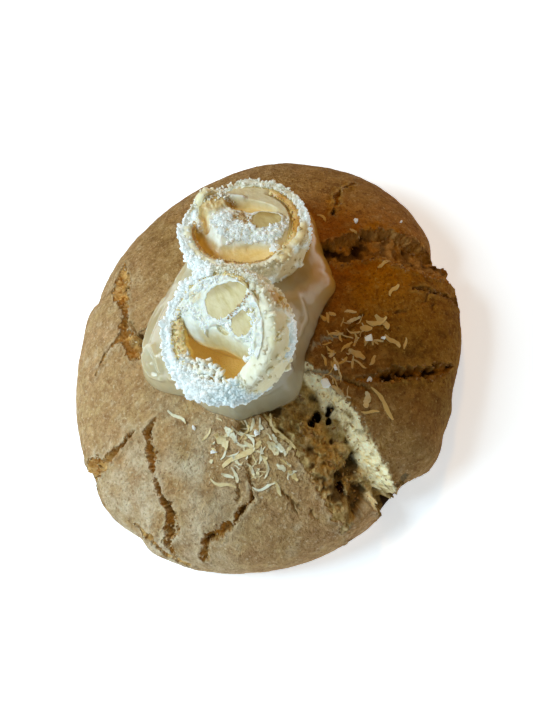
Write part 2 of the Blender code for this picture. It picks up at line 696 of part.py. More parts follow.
def make_almond(name, half, almond, grow=0.0):
    """A cut almond: a gently crowned face over half an ellipsoid. grow widens it all round."""
    columns = 16
    turn = np.arange(columns) / columns * math.tau
    long, short, deep = (size + grow for size in almond["size"])
    heading = math.radians(almond["turn"])
    level = half["cut"] + almond["top"]
    rings = []
    for radius, height in ((0.55, 0.3), (0.92, 0.12), (1.0, -0.12)):
        rings.append((radius, level + height + (3.0 if grow else 0.0)))
    for lean in (0.35, 0.75, 1.15):
        rings.append((math.cos(lean), level - 0.12 - deep * math.sin(lean)))
    points = [(0.0, 0.0, rings[0][1] + 0.05)]
    for radius, height in rings:
        taper = 1.0 + 0.18 * np.cos(turn)
        x = long * radius * np.cos(turn)
        y = short * radius * np.sin(turn) / taper
        points += [(a, b, height) for a, b in zip(x, y)]
    points.append((0.0, 0.0, level - 0.12 - deep))
    turned = np.array(points)
    x, y = turned[:, 0].copy(), turned[:, 1].copy()
    turned[:, 0] = almond["at"][0] + x * math.cos(heading) - y * math.sin(heading)
    turned[:, 1] = almond["at"][1] + x * math.sin(heading) + y * math.cos(heading)
    end = len(turned) - 1
    faces = [face[::-1] for face in grid_faces(len(rings), columns, start=1)]
    for column in range(columns):
        following = (column + 1) % columns
        faces.append((0, 1 + column, 1 + following))
        faces.append((end, end - columns + following, end - columns + column))
    return add_object(name, "almond", turned, faces, half_frame(half))


def make_half(name, half):
    """One half of the ball: coat, wafer, filling and what is left of the almond."""
    outside = [radius - FLAKE_RELIEF / 2 for radius in half["coat"]]
    coat = (outside, COAT_INSIDE, half["rim"], FLAKE_RELIEF)
    make_shell(f"{name}_coating", "coating", half, *coat, columns=34, rows=7)
    wafer = ([WAFER_OUTSIDE] * 8, WAFER_INSIDE, half["wafer"], 0.0)
    make_shell(f"{name}_wafer", "wafer", half, *wafer, columns=26, rows=5)
    filling = make_filling(f"{name}_filling", half)
    pockets = []
    for part, almond in half["almonds"].items():
        make_almond(f"{name}_{part}", half, almond)
        pockets.append(make_almond("pocket", half, almond, GAP))
    combine(filling, pockets, "DIFFERENCE")


def main():
    for obj in list(bpy.data.objects):
        bpy.data.objects.remove(obj)
    make_cookie()
    make_cream()
    for name, half in HALVES.items():
        make_half(name, half)


main()
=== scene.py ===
"""The looks of a cracked coconut cookie with cream and the two halves of a cut coconut ball.

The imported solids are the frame. Every solid is replaced here by a finer piece of the same form,
because crust, crumb, coconut and cream all need relief that the solids leave out. Lengths are in
millimetres and become metres as the meshes are made. +Z is up and -Y is the side of the split.
"""

import math

import bmesh
import bpy
import numpy as np
from mathutils import Matrix, Vector, noise
from mathutils.bvhtree import BVHTree


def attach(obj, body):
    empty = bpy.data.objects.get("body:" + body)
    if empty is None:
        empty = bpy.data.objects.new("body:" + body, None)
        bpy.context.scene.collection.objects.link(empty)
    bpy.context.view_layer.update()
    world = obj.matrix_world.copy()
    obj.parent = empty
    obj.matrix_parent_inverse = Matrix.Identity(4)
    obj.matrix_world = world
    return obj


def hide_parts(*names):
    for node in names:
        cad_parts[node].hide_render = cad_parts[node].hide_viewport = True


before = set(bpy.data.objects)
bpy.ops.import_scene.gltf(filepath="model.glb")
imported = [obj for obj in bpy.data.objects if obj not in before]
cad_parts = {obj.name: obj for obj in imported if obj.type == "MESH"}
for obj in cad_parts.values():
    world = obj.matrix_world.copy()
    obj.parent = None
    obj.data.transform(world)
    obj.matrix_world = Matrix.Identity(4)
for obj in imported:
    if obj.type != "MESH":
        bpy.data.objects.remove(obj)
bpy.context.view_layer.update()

MM = 0.001
BODY = "root"

# The view of the photograph.
VIEW_TARGET = (0.861, -3.415, 12.0)
VIEW_DISTANCE = 230.0
VIEW_ELEVATION = 60.0
VIEW_ROLL = -30.0
LENS = 49.62
SENSOR = 36.0

# The crust, as in the solid.
HEIGHT = 29.0
SHOULDER = 8.5
FOOT = 0.94
CROWN_FULLNESS = 0.92
CROWN_DROP = 1.05
FOOT_ROUNDING = 0.9
MIDDLE_RADIUS = 50.0
PLAN_RADII = (
    48.1, 50.5, 52.2, 52.8, 53.3, 51.7, 50.1, 48.5, 47.3, 46.6, 46.3, 47.1,
    48.7, 50.8, 52.8, 53.1, 52.3, 51.3, 49.8, 47.6, 49.9, 46.4, 47.1, 47.7,
)
# Breaks in the outline that the solid leaves out: bearing, inset, and how far each fades to lower
# and to higher bearings.
EDGE_BREAKS = (
    (-3.5, 2.2, 2.0, 8.0),
    (133.0, 1.1, 16.0, 1.5),
    (136.5, -0.4, 2.0, 8.0),
    (190.6, 1.6, 3.0, 3.5),
    (197.0, -0.4, 3.0, 5.0),
    (211.0, 1.2, 10.0, 4.0),
    (303.0, 1.7, 10.0, 9.0),
)
LUMP_HEIGHT = 0.45
LUMP_SPACING = 17.0
LUMP_END = 0.85
BASE_REACH = 0.995
SEAT_DEPTH = 2.0
SEAT_RADIUS = 13.0
CRACK_JAG = 0.35
CRACK_JAG_SPACING = 2.6

# Cracks, close to the solid's: courses of (bearing, reach), the widths of both sides and the depths.
# widths are shares of both widths along the course, pale is the share of light crumb in it, which
# the split works out for itself, and dark is how much painted shade darkens its middle along the course.
CRACKS = {
    "split": {
        "course": (
            (283.5, 0.33), (281.5, 0.44), (282.5, 0.53), (281, 0.61),
            (279.6, 0.71), (279, 0.82), (278.5, 0.93), (278.5, 0.99),
        ),
        "widths": (1.0, 1.0),
        "steep": 4.2,
        "gentle": 11.5,
        "depths": (4.0, 8.0, 8.6, 8.0, 6.8, 4.8, 3.0, 1.6),
        "dark": (0.0, 0.0),
    },
    "upper_right": {
        "course": ((13, 0.35), (8, 0.45), (6, 0.56), (1, 0.65), (357, 0.76), (355.5, 0.86), (355, 0.94)),
        "widths": (0.8, 1.0, 1.1, 1.35, 1.4, 1.3, 1.0),
        "steep": 2.0,
        "gentle": 6.2,
        "depths": (1.8, 2.8, 2.6, 2.3, 2.1, 1.7, 1.0),
        "pale": 0.15,
        "dark": (1.0, 1.0, 0.7, 0.5, 0.6, 0.6, 0.4),
    },
    "right": {
        "course": ((299, 0.46), (303.5, 0.51), (308, 0.575), (311.5, 0.65), (315.5, 0.73), (320, 0.80)),
        "widths": (0.3, 0.6, 0.9, 0.8, 0.9, 0.5),
        "steep": 1.4,
        "gentle": 1.9,
        "depths": (0.6, 1.6, 2.6, 2.6, 2.0, 0.8),
        "pale": 0.1,
        "dark": (1.0, 1.0),
    },
    "upper_left": {
        "course": ((118, 0.62), (128, 0.55), (140, 0.475), (152, 0.465), (161, 0.40), (163, 0.36)),
        "widths": (0.5, 1.9, 0.4, 0.9, 1.9, 1.6),
        "steep": 1.6,
        "gentle": 1.8,
        "depths": (0.8, 1.8, 2.0, 2.0, 2.4, 1.4),
        "pale": 0.15,
        "dark": (0.5, 0.4, 0.8, 0.6, 0.6, 0.4),
    },
    "left_tail": {
        "course": ((154, 0.47), (156, 0.525), (165, 0.605)),
        "widths": (0.8, 0.5, 0.5),
        "steep": 0.9,
        "gentle": 0.9,
        "depths": (1.0, 0.8, 0.3),
        "pale": 0.2,
        "dark": (0.6, 0.6),
    },
    "left_lower": {
        "course": (
            (197, 0.51), (196, 0.58), (195, 0.64), (193, 0.71), (191, 0.78), (190, 0.88), (190, 0.95),
        ),
        "widths": (0.25, 0.35, 0.7, 1.2, 2.0, 2.3, 2.0),
        "steep": 1.4,
        "gentle": 2.2,
        "depths": (0.8, 1.8, 2.6, 2.8, 2.4, 1.8, 0.8),
        "pale": 0.22,
        "dark": (1.0, 1.0, 0.9, 0.5, 0.2, 0.1, 0.1),
    },
    "long_lower": {
        "course": (
            (202, 0.42), (202, 0.468), (207, 0.506), (212, 0.56), (217, 0.61),
            (221, 0.645), (222, 0.69), (221.5, 0.76), (224, 0.82),
        ),
        "widths": (0.3, 0.8, 0.95, 0.3, 0.25, 0.9, 1.2, 0.9, 0.5),
        "steep": 1.3,
        "gentle": 1.3,
        "depths": (0.8, 2.0, 2.3, 2.2, 1.8, 2.4, 2.4, 1.6, 0.6),
        "pale": 0.2,
        "dark": (0.6, 0.9, 0.7, 0.6, 0.8, 1.0, 1.0, 0.6, 0.2),
    },
    "lower": {
        "course": (
            (246, 0.55), (246, 0.60), (242, 0.625), (240, 0.665), (236, 0.69), (232, 0.715), (231, 0.79),
        ),
        "widths": (0.2, 0.25, 0.6, 0.4, 1.0, 0.6, 0.8),
        "steep": 1.1,
        "gentle": 1.3,
        "depths": (0.6, 1.6, 1.8, 1.8, 2.0, 2.0, 1.0),
        "pale": 0.15,
        "dark": (1.0, 1.0, 1.0, 0.9, 0.9, 0.8, 0.6),
    },
    "rim": {
        "course": ((211, 0.77), (216, 0.77), (220, 0.81), (226, 0.84)),
        "widths": (0.5, 1.1, 0.8, 1.1),
        "steep": 1.1,
        "gentle": 1.1,
        "depths": (0.4, 1.1, 1.1, 0.4),
        "pale": 0.2,
        "dark": (0.4, 0.4),
    },
    "top": {
        "course": ((24, 0.49), (27, 0.545), (30, 0.61), (29, 0.69)),
        "widths": (0.5, 0.7, 0.4, 0.4),
        "steep": 0.9,
        "gentle": 0.9,
        "depths": (0.3, 0.8, 0.8, 0.3),
        "pale": 0.0,
        "dark": (1.0, 1.0),
    },
    "right_fine": {
        "course": ((341, 0.62), (341.5, 0.68), (340.5, 0.74), (341, 0.83), (341, 0.92)),
        "widths": (0.3, 0.6, 0.3, 0.9, 1.0),
        "steep": 1.0,
        "gentle": 1.4,
        "depths": (0.3, 0.6, 0.7, 1.2, 0.6),
        "pale": 0.1,
        "dark": (0.8, 0.8),
    },
}
# Holes in the crumb: bearing, reach, radius, depth and how dark their painted shade is.
PITS = (
    (275, 0.455, 1.3, 3.2, 1.0),
    (278.5, 0.45, 1.6, 3.6, 1.0),
    (284, 0.475, 1.3, 3.4, 1.0),
    (281.5, 0.50, 1.1, 2.6, 1.0),
    (277.5, 0.56, 0.9, 1.8, 0.6),
    (271, 0.70, 1.6, 1.6, 0.6),
    (161, 0.37, 2.6, 2.0, 0.25),
    (246, 0.385, 2.0, 1.8, 0.5),
)
# Hairline cracks that only show as thin grooves.
HAIRLINES = (
    ((256.6, 0.641), (257.3, 0.679)),
    ((260.6, 0.693), (261.3, 0.725)),
    ((254.7, 0.60), (256.7, 0.633), (258.0, 0.66)),
    ((246.8, 0.478), (245.5, 0.523), (246.5, 0.561)),
    ((241.7, 0.544), (241.6, 0.594)),
    ((341.2, 0.62), (342.0, 0.662), (340.3, 0.678), (341.5, 0.764)),
    ((340.3, 0.678), (336.8, 0.662)),
    ((336.6, 0.698), (334.6, 0.690)),
    ((330.8, 0.556), (332.4, 0.592)),
    ((302.0, 0.291), (307.0, 0.308), (314.3, 0.352), (315.0, 0.396), (329.0, 0.439)),
    ((288.0, 0.319), (294.9, 0.415), (296.7, 0.461), (298.0, 0.509)),
    ((146.5, 0.442), (156.0, 0.398), (151.1, 0.344), (142.2, 0.334)),
)
HAIRLINE_WIDTH = 0.42
HAIRLINE_DEPTH = 0.75
HAIRLINE_LONGEST = 30.0
# Chipped edges of the cracks: strength, spacing and seed of three noises.
CHIPS = ((1.5, 1.7, 4.4), (1.3, 0.8, 8.8), (0.7, 0.4, 2.8))
# Light crumb in the split, what its steep face adds, the share of the steep side over which that
# comes in, and the reaches where the light crumb ends and the dark foot begins.
SPLIT_PALE = 0.24
CLIFF_PALE = 0.74
CLIFF_SHARE = 0.45
PALE_END = 0.91
DARK_FOOT = 0.87
# Heights of the cracks' lips and of the skin's wrinkles, and in the crumb the height of the split's
# broad lumps, the depth of its cavities and how far it is stirred.
LIP_HEIGHT = 0.32
WRINKLE_HEIGHT = 0.14
FINE_WRINKLE_HEIGHT = 0.07
SPLIT_LUMPS = 1.6
CAVITY_DEPTH = 1.4
STIR = 0.32
# Where the crust is brownest, partly as painted shade, amber, partly as painted warm light, and
# floury with a painted sheen, and how widely that spreads.
BROWN_AND_SHADE_MIDDLE = (34.0, -17.0)
BROWN_AND_SHADE_SPREAD = 1250.0
AMBER_AND_WARM_LIGHT_MIDDLE = (31.0, 2.0)
AMBER_AND_WARM_LIGHT_SPREAD = 430.0
FLOURY_SHEEN_MIDDLE = (-34.0, -26.0)
FLOURY_SHEEN_REACH = 26.0

# The cream, as in the solid.
CREAM_MIDDLE = (2.0, -2.0)
CREAM_RADII = (
    20.6, 21.5, 24.1, 29.0, 33.0, 32.6, 29.4, 26.3, 23.4, 21.2, 20.8, 21.4, 21.6, 22.5, 24.3, 26.1,
    26.9, 25.2, 23.0, 22.8, 23.4, 24.1, 23.4, 23.2, 22.6, 19.3, 16.6, 15.5, 15.4, 15.9, 17.0, 20.0,
)
CREAM_DROP = 4.0
CREAM_SLOPE = 0.55
CREAM_CORE = 9.0
CREAM_BLEND = 1.4
CREAM_THINNEST = 1.6
CREAM_EDGE = 0.25
CREAM_ROUNDING = 7
# Folds of the cream: plan course, height and width.
CREAM_FOLDS = (
    (((-21.4, 0.9), (-20.3, 0.6), (-19.2, -1.6), (-19.3, -4.6), (-20.2, -7.0)), 0.75, 0.55),
    (((-22.4, 0.4), (-23.2, -1.8), (-23.8, -4.5), (-23.3, -8.0)), 0.6, 0.6),
    (((-21.4, -1.2), (-21.2, -3.2), (-21.8, -6.0)), -0.9, 0.9),
    (((-13.0, 11.5), (-16.5, 8.5), (-19.5, 5.0), (-21.4, 2.6)), 0.5, 0.6),
    (((-14.0, 8.0), (-17.5, 4.5), (-20.0, 2.0)), -0.5, 1.2),
    (((-19.0, -9.5), (-15.0, -15.5), (-11.0, -19.5)), 0.6, 1.1),
    (((-10.0, -22.0), (-3.0, -24.5), (4.0, -23.0)), 0.5, 0.7),
    (((-8.0, -21.4), (-2.0, -23.3), (5.0, -21.8)), -0.3, 0.5),
    (((-7.0, -20.5), (-1.0, -22.2), (6.0, -20.5)), 0.4, 0.7),
    (((12.5, -10.0), (13.5, -15.0), (11.0, -19.5)), 0.7, 1.3),
    (((16.5, -2.0), (20.5, 1.5), (25.5, 6.5), (29.5, 11.5)), 0.6, 1.6),
    (((22.0, 4.5), (27.0, 9.0)), -0.5, 1.2),
    (((-8.0, 13.5), (-4.5, 15.8), (-1.5, 17.5)), 0.6, 0.9),
)
MOST_LIFT = 1.0
BOWL_RADIUS = 13.1

# The layers of the ball, with other radii than the solid's.
COAT_INSIDE = 12.15
WAFER_OUTSIDE = 12.05
WAFER_INSIDE = 11.1
FILLING_RADIUS = 11.4
FILLING_REACH = 11.2
SMALLEST_GRAIN = 0.75
OUTERMOST_GRAIN = 13.4
# Painted shade on the coats: it begins at this y and deepens towards -Y over this width.
SHADE_START = -19.5
SHADE_WIDTH = 7.5
BAND_STEP = 1.2
BAND_FADE = 0.25
BAND_DEPTH = 1.3
ALMOND_TAPER = 0.3
ACROSS = Vector((0.866, -0.433, -0.25))
# The halves, placed and cut as in the solid: the middle of the ball and the height of the cut over
# it. coat holds the coat's radii round the half, rim and wafer how far the two rims stand over the
# cut, and largest what the largest grain adds to the smallest. loose_rims are grains on the rim:
# bearings, least radius and count. bands are smears over it: bearings, inner and outer radius, rise
# and how creamy they are. An almond's size is its half length, half width and depth.
HALVES = {
    "front": {
        "middle": (-3.9, -14.4, 46.9),
        "normal": (-0.488, -0.169, 0.856),
        "cut": 2.5,
        "largest": 1.5,
        "loose_rims": ((205.0, 300.0, 9.9, 420), (95.0, 205.0, 11.6, 260), (300.0, 330.0, 9.4, 80)),
        "bands": (
            (-66.0, 40.0, 9.3, 13.3, 0.55, 0.75),
            (96.0, 176.0, 10.7, 12.9, 0.35, 0.1),
        ),
        "coat": (13.9, 13.3, 13.0, 13.1, 14.1, 14.6, 14.2, 14.0),
        "rim": (
            0.2, 0.4, -0.3, -0.6, -0.5, -0.8, -0.5, 0.3, 0.6, 0.2, -0.2, 0.0, -0.4, 0.4, 0.7, 0.4,
        ),
        "wafer": (
            -0.2, -0.4, -0.3, -0.3, -0.4, -0.6, -0.2, 0.0, 0.3, 0.1, -1.0, -2.2, -2.6, -2.0, -1.0, -0.4,
        ),
        "almonds": {
            "almond": {"at": (2.3, 6.6), "size": (5.3, 3.2, 3.0), "turn": 22.0, "top": 0.4},
            "almond_piece": {"at": (6.6, 2.2), "size": (3.5, 2.2, 2.2), "turn": 38.0, "top": 0.3},
        },
    },
    "rear": {
        "middle": (10.5, 9.1, 41.4),
        "normal": (0.21, 0.121, 0.97),
        "cut": 2.0,
        "largest": 0.9,
        "loose_rims": ((150.0, 300.0, 13.2, 300), (20.0, 120.0, 13.0, 60)),
        "bands": (
            (166.0, 322.0, 11.45, 13.3, 0.55, 0.8),
            (70.0, 118.0, 11.6, 12.9, 0.10, 0.8),
        ),
        "coat": (13.6, 13.5, 13.7, 14.0, 14.5, 14.1, 13.7, 14.2),
        "rim": (
            0.0, 0.2, 0.0, 0.3, 0.4, -1.6, 2.4, -2.8, 0.3, 0.1, -0.2, 0.0, -0.5, -0.7, 0.2, 0.2,
        ),
        "wafer": (
            -0.3, -0.2, -0.3, -0.3, -0.4, -0.9, 0.4, -2.4, -0.3, -0.1, -0.2, -0.1, -0.4, -0.7, -0.3, -0.3,
        ),
        "almonds": {
            "almond": {"at": (4.7, 0.4), "size": (3.3, 2.3, 2.4), "turn": 2.0, "top": 0.3},
        },
    },
}

# Lines on the cut faces: where each filling's side falls away, and the front's ragged snowy edge.
SHORE = {
    "front": (
        (-12.0, 5.2), (-9.2, 3.6), (-6.6, 2.0), (-3.5, 1.0), (0.0, 0.6), (4.0, -1.2), (8.0, -3.2),
        (12.0, -6.4),
    ),
    "rear": (
        (-12.0, 5.2), (-9.6, 3.6), (-7.4, 1.2), (-6.0, -0.5), (-4.6, -1.9), (-1.8, -1.9), (2.1, -2.2),
        (6.1, -3.2), (8.3, -1.6), (11.5, 0.6),
    ),
}
FRONT_EDGE = (
    (-12.0, 4.8), (-9.1, 3.9), (-6.5, 3.5), (-4.7, 2.7), (-4.1, 0.9), (-3.6, -0.7), (-3.0, 0.7),
    (-1.6, 1.5), (0.1, 1.8), (1.6, 0.7), (3.7, -0.8), (5.6, -0.7), (7.7, -1.8), (9.0, -4.1), (11.0, -6.5),
)
FRONT_RIDGE = ((7.2, 10.6), (8.7, 9.0), (9.8, 7.4), (10.0, 3.9), (9.4, -1.0), (9.0, -4.4))
# How much each wafer thickens under its rim, at even steps round it.
WAFER_LEDGE = {
    "front": (0.0, 0.0, 0.0, 0.0, 0.1, 0.2, 0.4, 1.0, 1.7, 2.0, 2.4, 2.8, 2.5, 1.0, 0.1, 0.0),
    "rear": (0.6, 0.7, 0.6, 0.4, 0.2, 0.0, 0.0, 0.0, 0.0, 0.0, 0.0, 0.0, 0.0, 0.0, 0.2, 0.4),
}
REAR_NOTCH = ((-9.0, 3.9), (-8.4, 0.6))
REAR_BACK_RIDGE = ((-5.2, 9.4), (-2.6, 8.6), (-0.4, 7.9))

# Shreds of coconut on the crust: start, end, width and sideways bow.
SHREDS = (
    (-4.6, -24.6, -3.6, -33.5, 0.9, -1.3),
    (-9.1, -28.6, -18.9, -28.6, 1.4, 0.3),
    (-14.4, -22.0, -13.8, -26.0, 1.5, 0.3),
    (-17.2, -20.6, -20.1, -21.8, 0.6, 0.3),
    (-16.8, -22.4, -16.4, -26.4, 1.8, 0.5),
    (-8.0, -29.7, -7.4, -33.0, 1.5, 0.3),
    (-6.3, -30.4, -6.1, -33.6, 0.8, 0.2),
    (-22.4, -29.2, -18.5, -33.6, 0.8, -0.5),
    (-15.5, -35.3, -10.9, -37.0, 0.7, -0.8),
    (-10.9, -36.6, -11.1, -39.6, 0.7, 0.2),
    (-23.7, -11.6, -21.5, -16.6, 0.7, 0.3),
    (-17.2, -30.0, -17.7, -33.2, 0.7, 0.2),
    (-19.8, -29.8, -17.9, -31.9, 0.7, 0.1),
    (-14.0, -31.0, -13.8, -33.9, 0.7, 0.2),
    (-10.7, -31.0, -11.1, -34.7, 0.6, 0.6),
    (-7.1, -36.5, -6.5, -38.9, 1.0, 0.1),
    (-8.6, -34.1, -7.8, -36.1, 1.0, 0.1),
    (23.2, -16.4, 27.6, -17.2, 1.2, -0.8),
    (25.7, -15.9, 26.5, -19.8, 1.3, 0.5),
    (21.3, -17.0, 23.6, -18.1, 1.2, 0.1),
    (25.2, -20.5, 26.7, -24.0, 1.1, 0.2),
    (29.0, -22.4, 27.3, -24.5, 0.6, 0.1),
    (19.6, -14.6, 22.8, -14.6, 0.8, 0.2),
    (14.6, -15.4, 17.6, -16.4, 0.8, 0.2),
    (15.1, -20.0, 18.3, -19.0, 0.7, 0.3),
    (16.7, -20.5, 18.6, -23.8, 1.4, 0.3),
    (21.0, -23.7, 18.9, -25.2, 0.8, 0.2),
    (15.6, -21.6, 13.3, -22.3, 0.7, 0.3),
    (9.6, -25.8, 10.7, -28.8, 1.0, 0.2),
    (15.3, -30.2, 13.5, -33.0, 1.3, 0.1),
    (16.6, -29.9, 17.1, -37.3, 0.8, 0.6),
    (12.1, -33.1, 15.5, -34.7, 0.6, 0.1),
    (32.2, -5.1, 35.6, -4.2, 0.9, 0.2),
    (30.9, -12.6, 34.1, -10.7, 0.9, 0.3),
)
# Finer shreds that the solid leaves out.
FINE_SHREDS = (
    (16.5, -14.9, 16.4, -18.0, 0.5, 0.3),
    (19.7, -17.8, 18.0, -20.4, 0.6, 0.2),
    (13.0, -17.8, 13.9, -20.1, 0.6, -0.2),
    (11.1, -19.1, 10.7, -21.9, 0.5, 0.3),
    (12.1, -21.2, 12.5, -23.4, 0.6, -0.3),
    (16.3, -22.8, 17.8, -25.9, 0.5, 0.3),
    (7.7, -26.3, 8.4, -28.3, 0.6, 0.2),
    (-14.0, -26.4, -13.3, -28.5, 0.7, 0.8),
    (-19.1, -24.1, -18.7, -26.1, 0.6, 0.2),
    (-9.3, -25.6, -8.7, -27.4, 0.5, 0.2),
    (-12.0, -24.4, -11.0, -29.0, 0.6, 0.9),
    (-13.0, -23.0, -9.5, -27.5, 0.5, -0.5),
    (-15.8, -25.5, -18.6, -27.2, 0.5, 0.4),
    (-10.2, -33.0, -12.4, -35.2, 0.5, 0.5),
    (-8.9, -30.0, -11.8, -32.2, 0.5, -0.3),
    (15.3, -10.4, 15.9, -12.4, 0.9, 0.1),
    (17.3, -10.7, 18.2, -12.1, 0.9, 0.1),
    (20.3, -12.0, 22.6, -13.2, 0.7, 0.2),
    (27.4, 14.9, 28.1, 12.0, 0.7, 0.8),
    (31.9, 7.3, 32.9, 5.4, 0.7, 0.1),
    (22.5, -20.6, 24.2, -21.6, 0.5, 0.2),
    (18.7, -16.1, 20.9, -18.0, 0.5, -0.3),
)
# Heaps of smaller strewn shreds: middle x and y, spread along x and y, and how many.
STREWN = (
    (-13.0, -27.5, 3.2, 3.6, 34),
    (-8.0, -31.5, 2.4, 2.6, 14),
    (17.0, -18.5, 3.0, 3.4, 22),
    (11.5, -24.5, 2.0, 2.4, 12),
)
# White chunks of coconut: x, y, length, width, heading.
CHUNKS = (
    (21.7, -19.9, 2.3, 1.7, 10.0),
    (8.9, -24.9, 2.7, 2.1, -30.0),
    (17.2, -27.8, 1.8, 1.2, 30.0),
    (-18.9, -25.2, 1.6, 1.3, 20.0),
    (-9.0, -26.9, 1.6, 1.2, 70.0),
    (-20.2, -18.4, 1.2, 1.0, 50.0),
    (34.3, 9.0, 1.4, 1.1, 20.0),
    (44.1, 6.3, 1.2, 0.9, 0.0),
    (12.4, -22.9, 1.4, 1.0, 60.0),
    (24.6, -21.0, 1.2, 0.8, -20.0),
    (-11.1, -20.3, 1.6, 1.3, 15.0),
)
# The height from which the surface under a place is looked for.
ABOVE = 80.0

# Seeds of the random draws.
STREWN_SEED = 19
SHRED_SEED = 11
CRUMB_SEED = 5
HALF_SEED = 31

# Crumbs on the cut faces: course, how many, spread, sizes, and the height over the filling, or over
# the cut where they bridge the hollow.
FACE_CRUMBS = {
    "front": {
        "brown": (((2.9, 3.1), (4.9, 4.7), (6.6, 6.0), (8.1, 7.4)), 90, 0.35, (0.25, 0.6), "filling", 0.1),
        "broken": (
            ((-9.6, -4.6), (-8.6, -5.8), (-6.6, -7.2), (-4.4, -6.8), (-2.4, -8.0), (0.4, -9.4)),
            170, 0.75, (1.0, 2.6), "cut", -0.9,
        ),
        "upper": (((-1.0, 10.4), (3.0, 11.3), (7.0, 11.0), (9.6, 9.6)), 160, 0.5, (0.3, 0.8), "cut", -0.2),
        "snow": (
            ((-9.0, 4.6), (-6.0, 4.6), (-4.2, 2.4), (-2.0, 2.6), (1.0, 2.2), (4.0, 0.2), (7.4, -0.8)),
            130, 0.6, (0.6, 1.5), "filling", -0.15,
        ),
        "snow_upper": (
            ((-8.4, 6.6), (-6.0, 8.2), (-3.0, 9.8), (0.6, 10.4)), 90, 0.6, (0.6, 1.4), "filling", -0.15,
        ),
        "snow_right": (
            ((6.6, 6.6), (8.4, 3.6), (9.1, 0.0), (8.7, -3.2), (7.4, -5.8)),
            170, 0.45, (0.7, 1.7), "cut", 0.0,
        ),
        "ledge": (
            ((-9.4, 5.2), (-10.6, 1.9), (-10.6, -1.9), (-9.8, -4.6), (-7.7, -7.7)),
            150, 0.45, (0.3, 0.85), "cut", 0.25,
        ),
    },
    "rear": {
        "brown": (((-1.2, 3.6), (-0.5, 1.6), (0.0, -0.4)), 60, 0.45, (0.3, 0.7), "filling", 0.1),
        "brown_side": (((0.6, 3.2), (1.0, 1.2), (1.4, -0.4)), 30, 0.25, (0.3, 0.6), "filling", 0.1),
        "upper": (
            ((-10.6, 8.0), (-7.7, 8.2), (-5.0, 8.8), (-3.0, 7.4)), 120, 0.6, (0.4, 1.1), "filling", 0.2,
        ),
        "notch": (((-10.6, 2.2), (-10.0, 0.4)), 24, 0.4, (0.4, 0.9), "cut", -0.9),
        "snow": (
            ((-7.0, 2.6), (-5.2, 1.0), (-3.6, -0.6), (-1.0, -1.0), (2.4, -1.3), (5.8, -2.2), (8.0, -0.9)),
            180, 0.75, (0.9, 2.1), "filling", -0.15,
        ),
        "snow_lump": (((-5.0, 3.2), (-4.3, 1.7), (-3.6, 0.2)), 70, 0.8, (0.9, 2.0), "filling", -0.1),
        "snow_slope": (
            ((-5.6, -0.8), (-3.8, -2.6), (-1.0, -3.1), (2.4, -3.4), (5.6, -4.2), (7.8, -2.8)),
            130, 0.45, (1.0, 2.2), "filling", -0.3,
        ),
        "chunk": (((6.3, -8.2), (6.7, -7.4)), 5, 0.3, (2.0, 2.9), "cut", -0.7),
    },
}
# The finish and the slot of each kind of crumb, which is the first word of its name.
CRUMB_LOOKS = {
    "brown": ("brown", "almond"),
    "broken": ("pale", "wafer"),
    "upper": ("pale", "wafer"),
    "notch": ("pale", "wafer"),
    "ledge": ("wafer", "wafer"),
    "snow": ("snow", "white_filling"),
    "chunk": ("snow", "coconut_coating"),
}

# How finely the pieces are divided, and how many small things they get.
CRUST_CELLS = 165
SHRED_STATIONS = 10
SHRED_SIDES = 4
CRUMBS_IN_CRACKS = 480
CRUMBS_ON_EDGES = 1500
CREAM_COLUMNS = 400
CREAM_TOP_ROWS = 74
CREAM_BASE_ROWS = 8
COAT_COLUMNS = 230
COAT_ROWS = (62, 26)
COAT_BARE_ROWS = 16
COAT_GRAINS = 2700
RIM_GRAINS = 900
BAND_SIDES = 22
WAFER_COLUMNS = 220
WAFER_ROWS = (24, 60)
WAFER_CRUMBS = 240
FILLING_COLUMNS = 300
FILLING_ROWS = 110
FILLING_FLOOR_ROWS = 12
ALMOND_COLUMNS = 64
ALMOND_FACE_ROWS = 14
ALMOND_SIDE_ROWS = 8

# Lamps: name, azimuth and elevation in degrees, distance and size in metres, power and colour.
LAMPS = (
    ("window", 160.0, 50.0, 0.45, 0.25, 1.95, (0.80, 1.0, 1.10)),
    ("sky", 228.0, 28.0, 0.5, 0.35, 0.42, (0.50, 0.82, 1.0)),
    ("bulb", 50.0, 55.0, 0.5, 0.05, 0.42, (1.0, 0.50, 0.08)),
    ("fill", -25.0, 40.0, 0.6, 0.30, 0.20, (1.0, 0.52, 0.10)),
)
LAMP_AIM = (0.0, 0.0, 0.02)
WORLD_COLOUR = (1.0, 0.66, 0.28, 1.0)
WORLD_STRENGTH = 0.06
FLOOR_TONES = ((0.87, 0.91, 0.97), (0.89, 0.93, 0.98))
FLOOR_GLOW = (0.94, 0.97, 1.0, 1.0)
FLOOR_GLOW_STRENGTH = 0.58
FLOOR_REACH = 1.5


# ---------------------------------------------------------------- numbers and shapes


def smooth(x):
    """0 below 0, 1 above 1, and an S-curve between."""
    x = np.clip(x, 0.0, 1.0)
    return x * x * (3.0 - 2.0 * x)


def ring_curve(values, turn):
    """A closed smooth curve through evenly spaced values, read at turn, in whole turns."""
    values = np.asarray(values, float)
    count = len(values)
    at = np.asarray(turn) % 1.0 * count
    index = np.floor(at).astype(int)
    f = at - index
    a, b, c, d = (values[(index + step) % count] for step in (-1, 0, 1, 2))
    return b + 0.5 * f * (c - a + f * (2 * a - 5 * b + 4 * c - d + f * (3 * (b - c) + d - a)))


def ripple(points, spacing, seed=0.0):
    """Smooth noise from about -1 to 1 at each point."""
    scaled = np.asarray(points, float) / spacing + seed
    return np.array([noise.noise(Vector(point)) for point in scaled])


def rough(points, spacing, seed=0.0, octaves=3):
    """Rough noise: octaves of smooth noise, each finer and weaker."""
    total = np.zeros(len(points))
    for octave in range(octaves):
        total += ripple(points, spacing / 2**octave, seed + 5.1 * octave) / 1.8**octave
    return total


